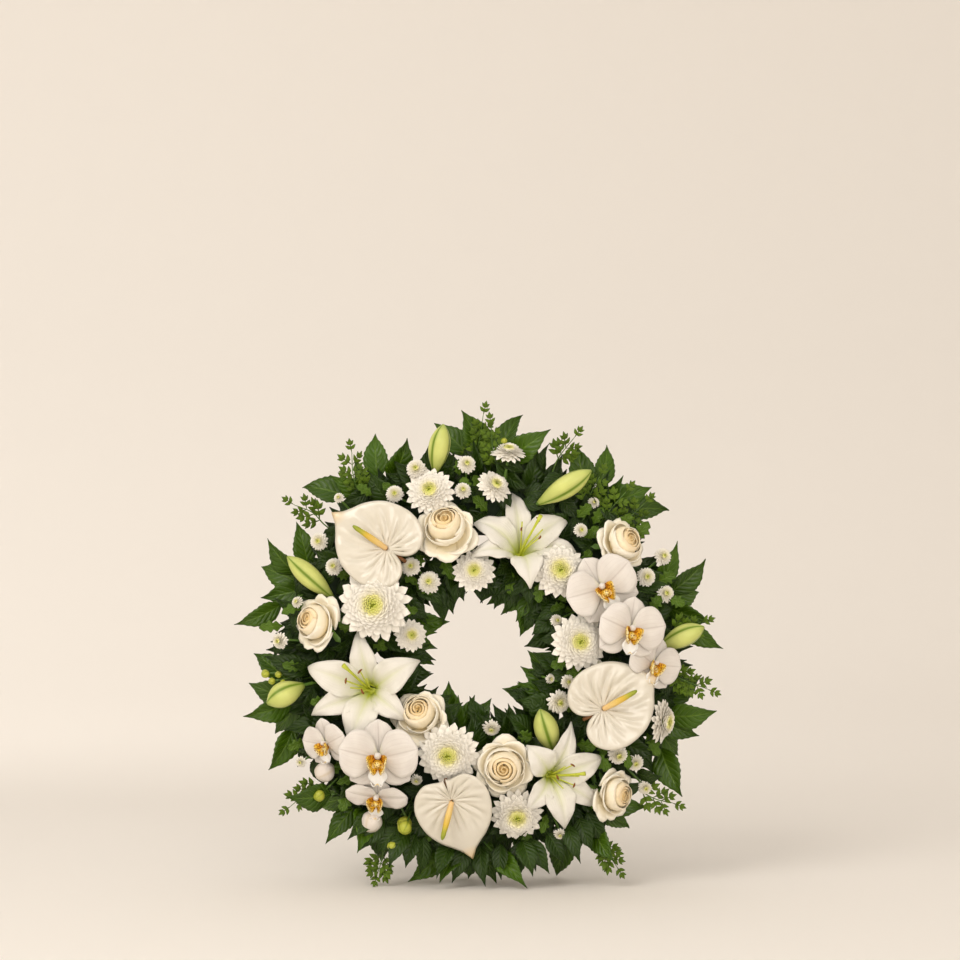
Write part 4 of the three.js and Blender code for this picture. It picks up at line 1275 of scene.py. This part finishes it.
def foamSection(turn, degrees):
    back, middle, shoulder, crown = [foamPlan[part] for part in ("back", "middle", "shoulder", "crown")]
    section = [  # the section's corners as turn, reach, ahead
        (-180, foamInner, middle), (-135, foamInner, back), (-45, foamOuter, back), (0, foamOuter, middle),
        (30, foamOuter, shoulder), (65, foamOuter - crown, foamFront - 1),
        (115, foamInner + crown, foamFront - 1), (150, foamInner, shoulder), (180, foamInner, middle)]
    turns, reaches, aheads = zip(*section)
    ahead = np.interp(degrees, turns, aheads)
    rough = foamPlan["rough"] * (np.sin(turn * 37 + degrees * 0.21) + np.sin(turn * 53 - degrees * 0.33)) / 2
    return np.interp(degrees, turns, reaches), ahead + rough * (ahead > 40)


def trayCorners():  # a shallow channel round the ring, with small rounded edges
    gap, wall, rim, edge, flank = [trayPlan[part] for part in ("gap", "wall", "rim", "edge", "flank")]
    outer, inner = foamOuter + gap + wall, foamInner - gap - wall
    half = [  # reach from the outer face and ahead, up the outside, over the rim and down the inside
        (edge, 0), (0, edge), (0, flank), (0, rim - flank), (0, rim - edge), (edge, rim), (wall - edge, rim),
        (wall, rim - edge), (wall, rim - flank), (wall, wall + flank), (wall, wall), (wall + flank, wall)]
    section = [(outer - across, ahead) for across, ahead in half]
    section += [(inner + across, ahead) for across, ahead in reversed(half)]
    return np.array(section + [(inner + flank, 0), (outer - flank, 0)])


def traySection(turn, degrees):
    corners = trayCorners()
    return corners[np.round(degrees / 360 * len(corners)).astype(int) % len(corners)].T


build("foam_body", [(ringBody(32, foamSection), still, 0)], "foam", ("foam_ring",))
trayRing = ringBody(len(trayCorners()), traySection)
build("tray_body", [(trayRing, still, 0)], "tray", ("tray_ring",))
say("foam and tray")

# Studio.

studio = {
    "wall": (0.865, 0.822, 0.772), "floor": (0.90, 0.855, 0.803), "fade": 0.9,
    "floorReach": 2.6, "wallReach": 5.2, "wallHeight": 6.0,
    "floorShare": 0.35, "bendShare": 0.4,  # how much of the sweep is floor and how much is bend
    "air": (1.0, 0.96, 0.90), "airStrength": 0.74,
    "camera": (0.0, -3.005, 0.507), "lens": 90,
}


def sweepShape(side, way):  # a round floor that bends up into a wall
    floorShare, bendShare = studio["floorShare"], studio["bendShare"]
    turn = side * math.pi
    bendReach = studio["wallReach"] - studio["floorReach"]
    bend = np.clip((way - floorShare) / bendShare, 0, 1) * math.pi / 2
    reach = np.where(way < floorShare, way / floorShare * studio["floorReach"],
                     studio["floorReach"] + bendReach * np.sin(bend))
    wallWay = np.clip((way - floorShare - bendShare) / (1 - floorShare - bendShare), 0, 1)
    rise = bendReach * (1 - np.cos(bend)) + wallWay * (studio["wallHeight"] - bendReach)
    return stack(reach * np.sin(turn), -reach * np.cos(turn), rise)


sweep = grid(96, 30, sweepShape)
sweep.name = "studio_sweep"
bpy.ops.object.mode_set(mode="EDIT")
bpy.ops.mesh.select_all(action="SELECT")
bpy.ops.mesh.remove_doubles(threshold=0.0005)
bpy.ops.mesh.normals_make_consistent(inside=True)
bpy.ops.object.mode_set(mode="OBJECT")
bpy.ops.object.shade_smooth()
paper = Paint("studio paper", 0.9, gloss=0.1)
height = paper.split(paper.space)[2]
# painted light: the paper is lighter on the floor and fades to the wall colour with height, to even out how
# the lamps light the sweep
paper.done(paper.ramp(height, (0.0, studio["floor"]), (studio["fade"], studio["wall"])))
sweep.data.materials.append(paper.material)

world = bpy.data.worlds.new("studio air")
bpy.context.scene.world = world
world.use_nodes = True
air = world.node_tree.nodes["Background"].inputs
air["Color"].default_value = (*studio["air"], 1)
air["Strength"].default_value = studio["airStrength"]


def softbox(name, spot, target, size, power, color):
    bpy.ops.object.light_add(type="AREA", location=spot)
    lamp = bpy.context.object
    lamp.name = name
    lamp.data.shape = "DISK"
    lamp.data.size = size
    lamp.data.energy = power
    lamp.data.color = color
    lamp.rotation_euler = (Vector(target) - Vector(spot)).to_track_quat("-Z", "Y").to_euler()


softbox("key light", (-1.9, -2.4, 2.6), (0, 0, 0.35), 2.2, 51, (1.0, 0.97, 0.92))
softbox("fill light", (0.8, -3.6, 0.75), (0, 0, 0.2), 2.4, 47, (1.0, 0.97, 0.92))
softbox("top light", (0.2, 0.6, 3.2), (0, 0.2, 0), 2.2, 3, (1.0, 0.98, 0.95))
softbox("wall light", (-1.2, 1.2, 2.4), (-1.6, 5.0, 1.6), 2.4, 28, (1.0, 0.98, 0.95))

bpy.ops.object.camera_add(location=studio["camera"], rotation=(math.pi / 2, 0, 0))
camera = bpy.context.object
camera.data.lens = studio["lens"]
camera.data.sensor_width = 36
camera.data.clip_end = 60
bpy.context.scene.camera = camera
bpy.context.scene.view_settings.view_transform = "Standard"
say("studio")

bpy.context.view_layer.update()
shown = [piece.data for piece in bpy.data.objects if piece.type == "MESH" and not piece.hide_render]
triangles = sum(len(face.vertices) - 2 for mesh in shown for face in mesh.polygons)
say(f"{triangles} triangles")
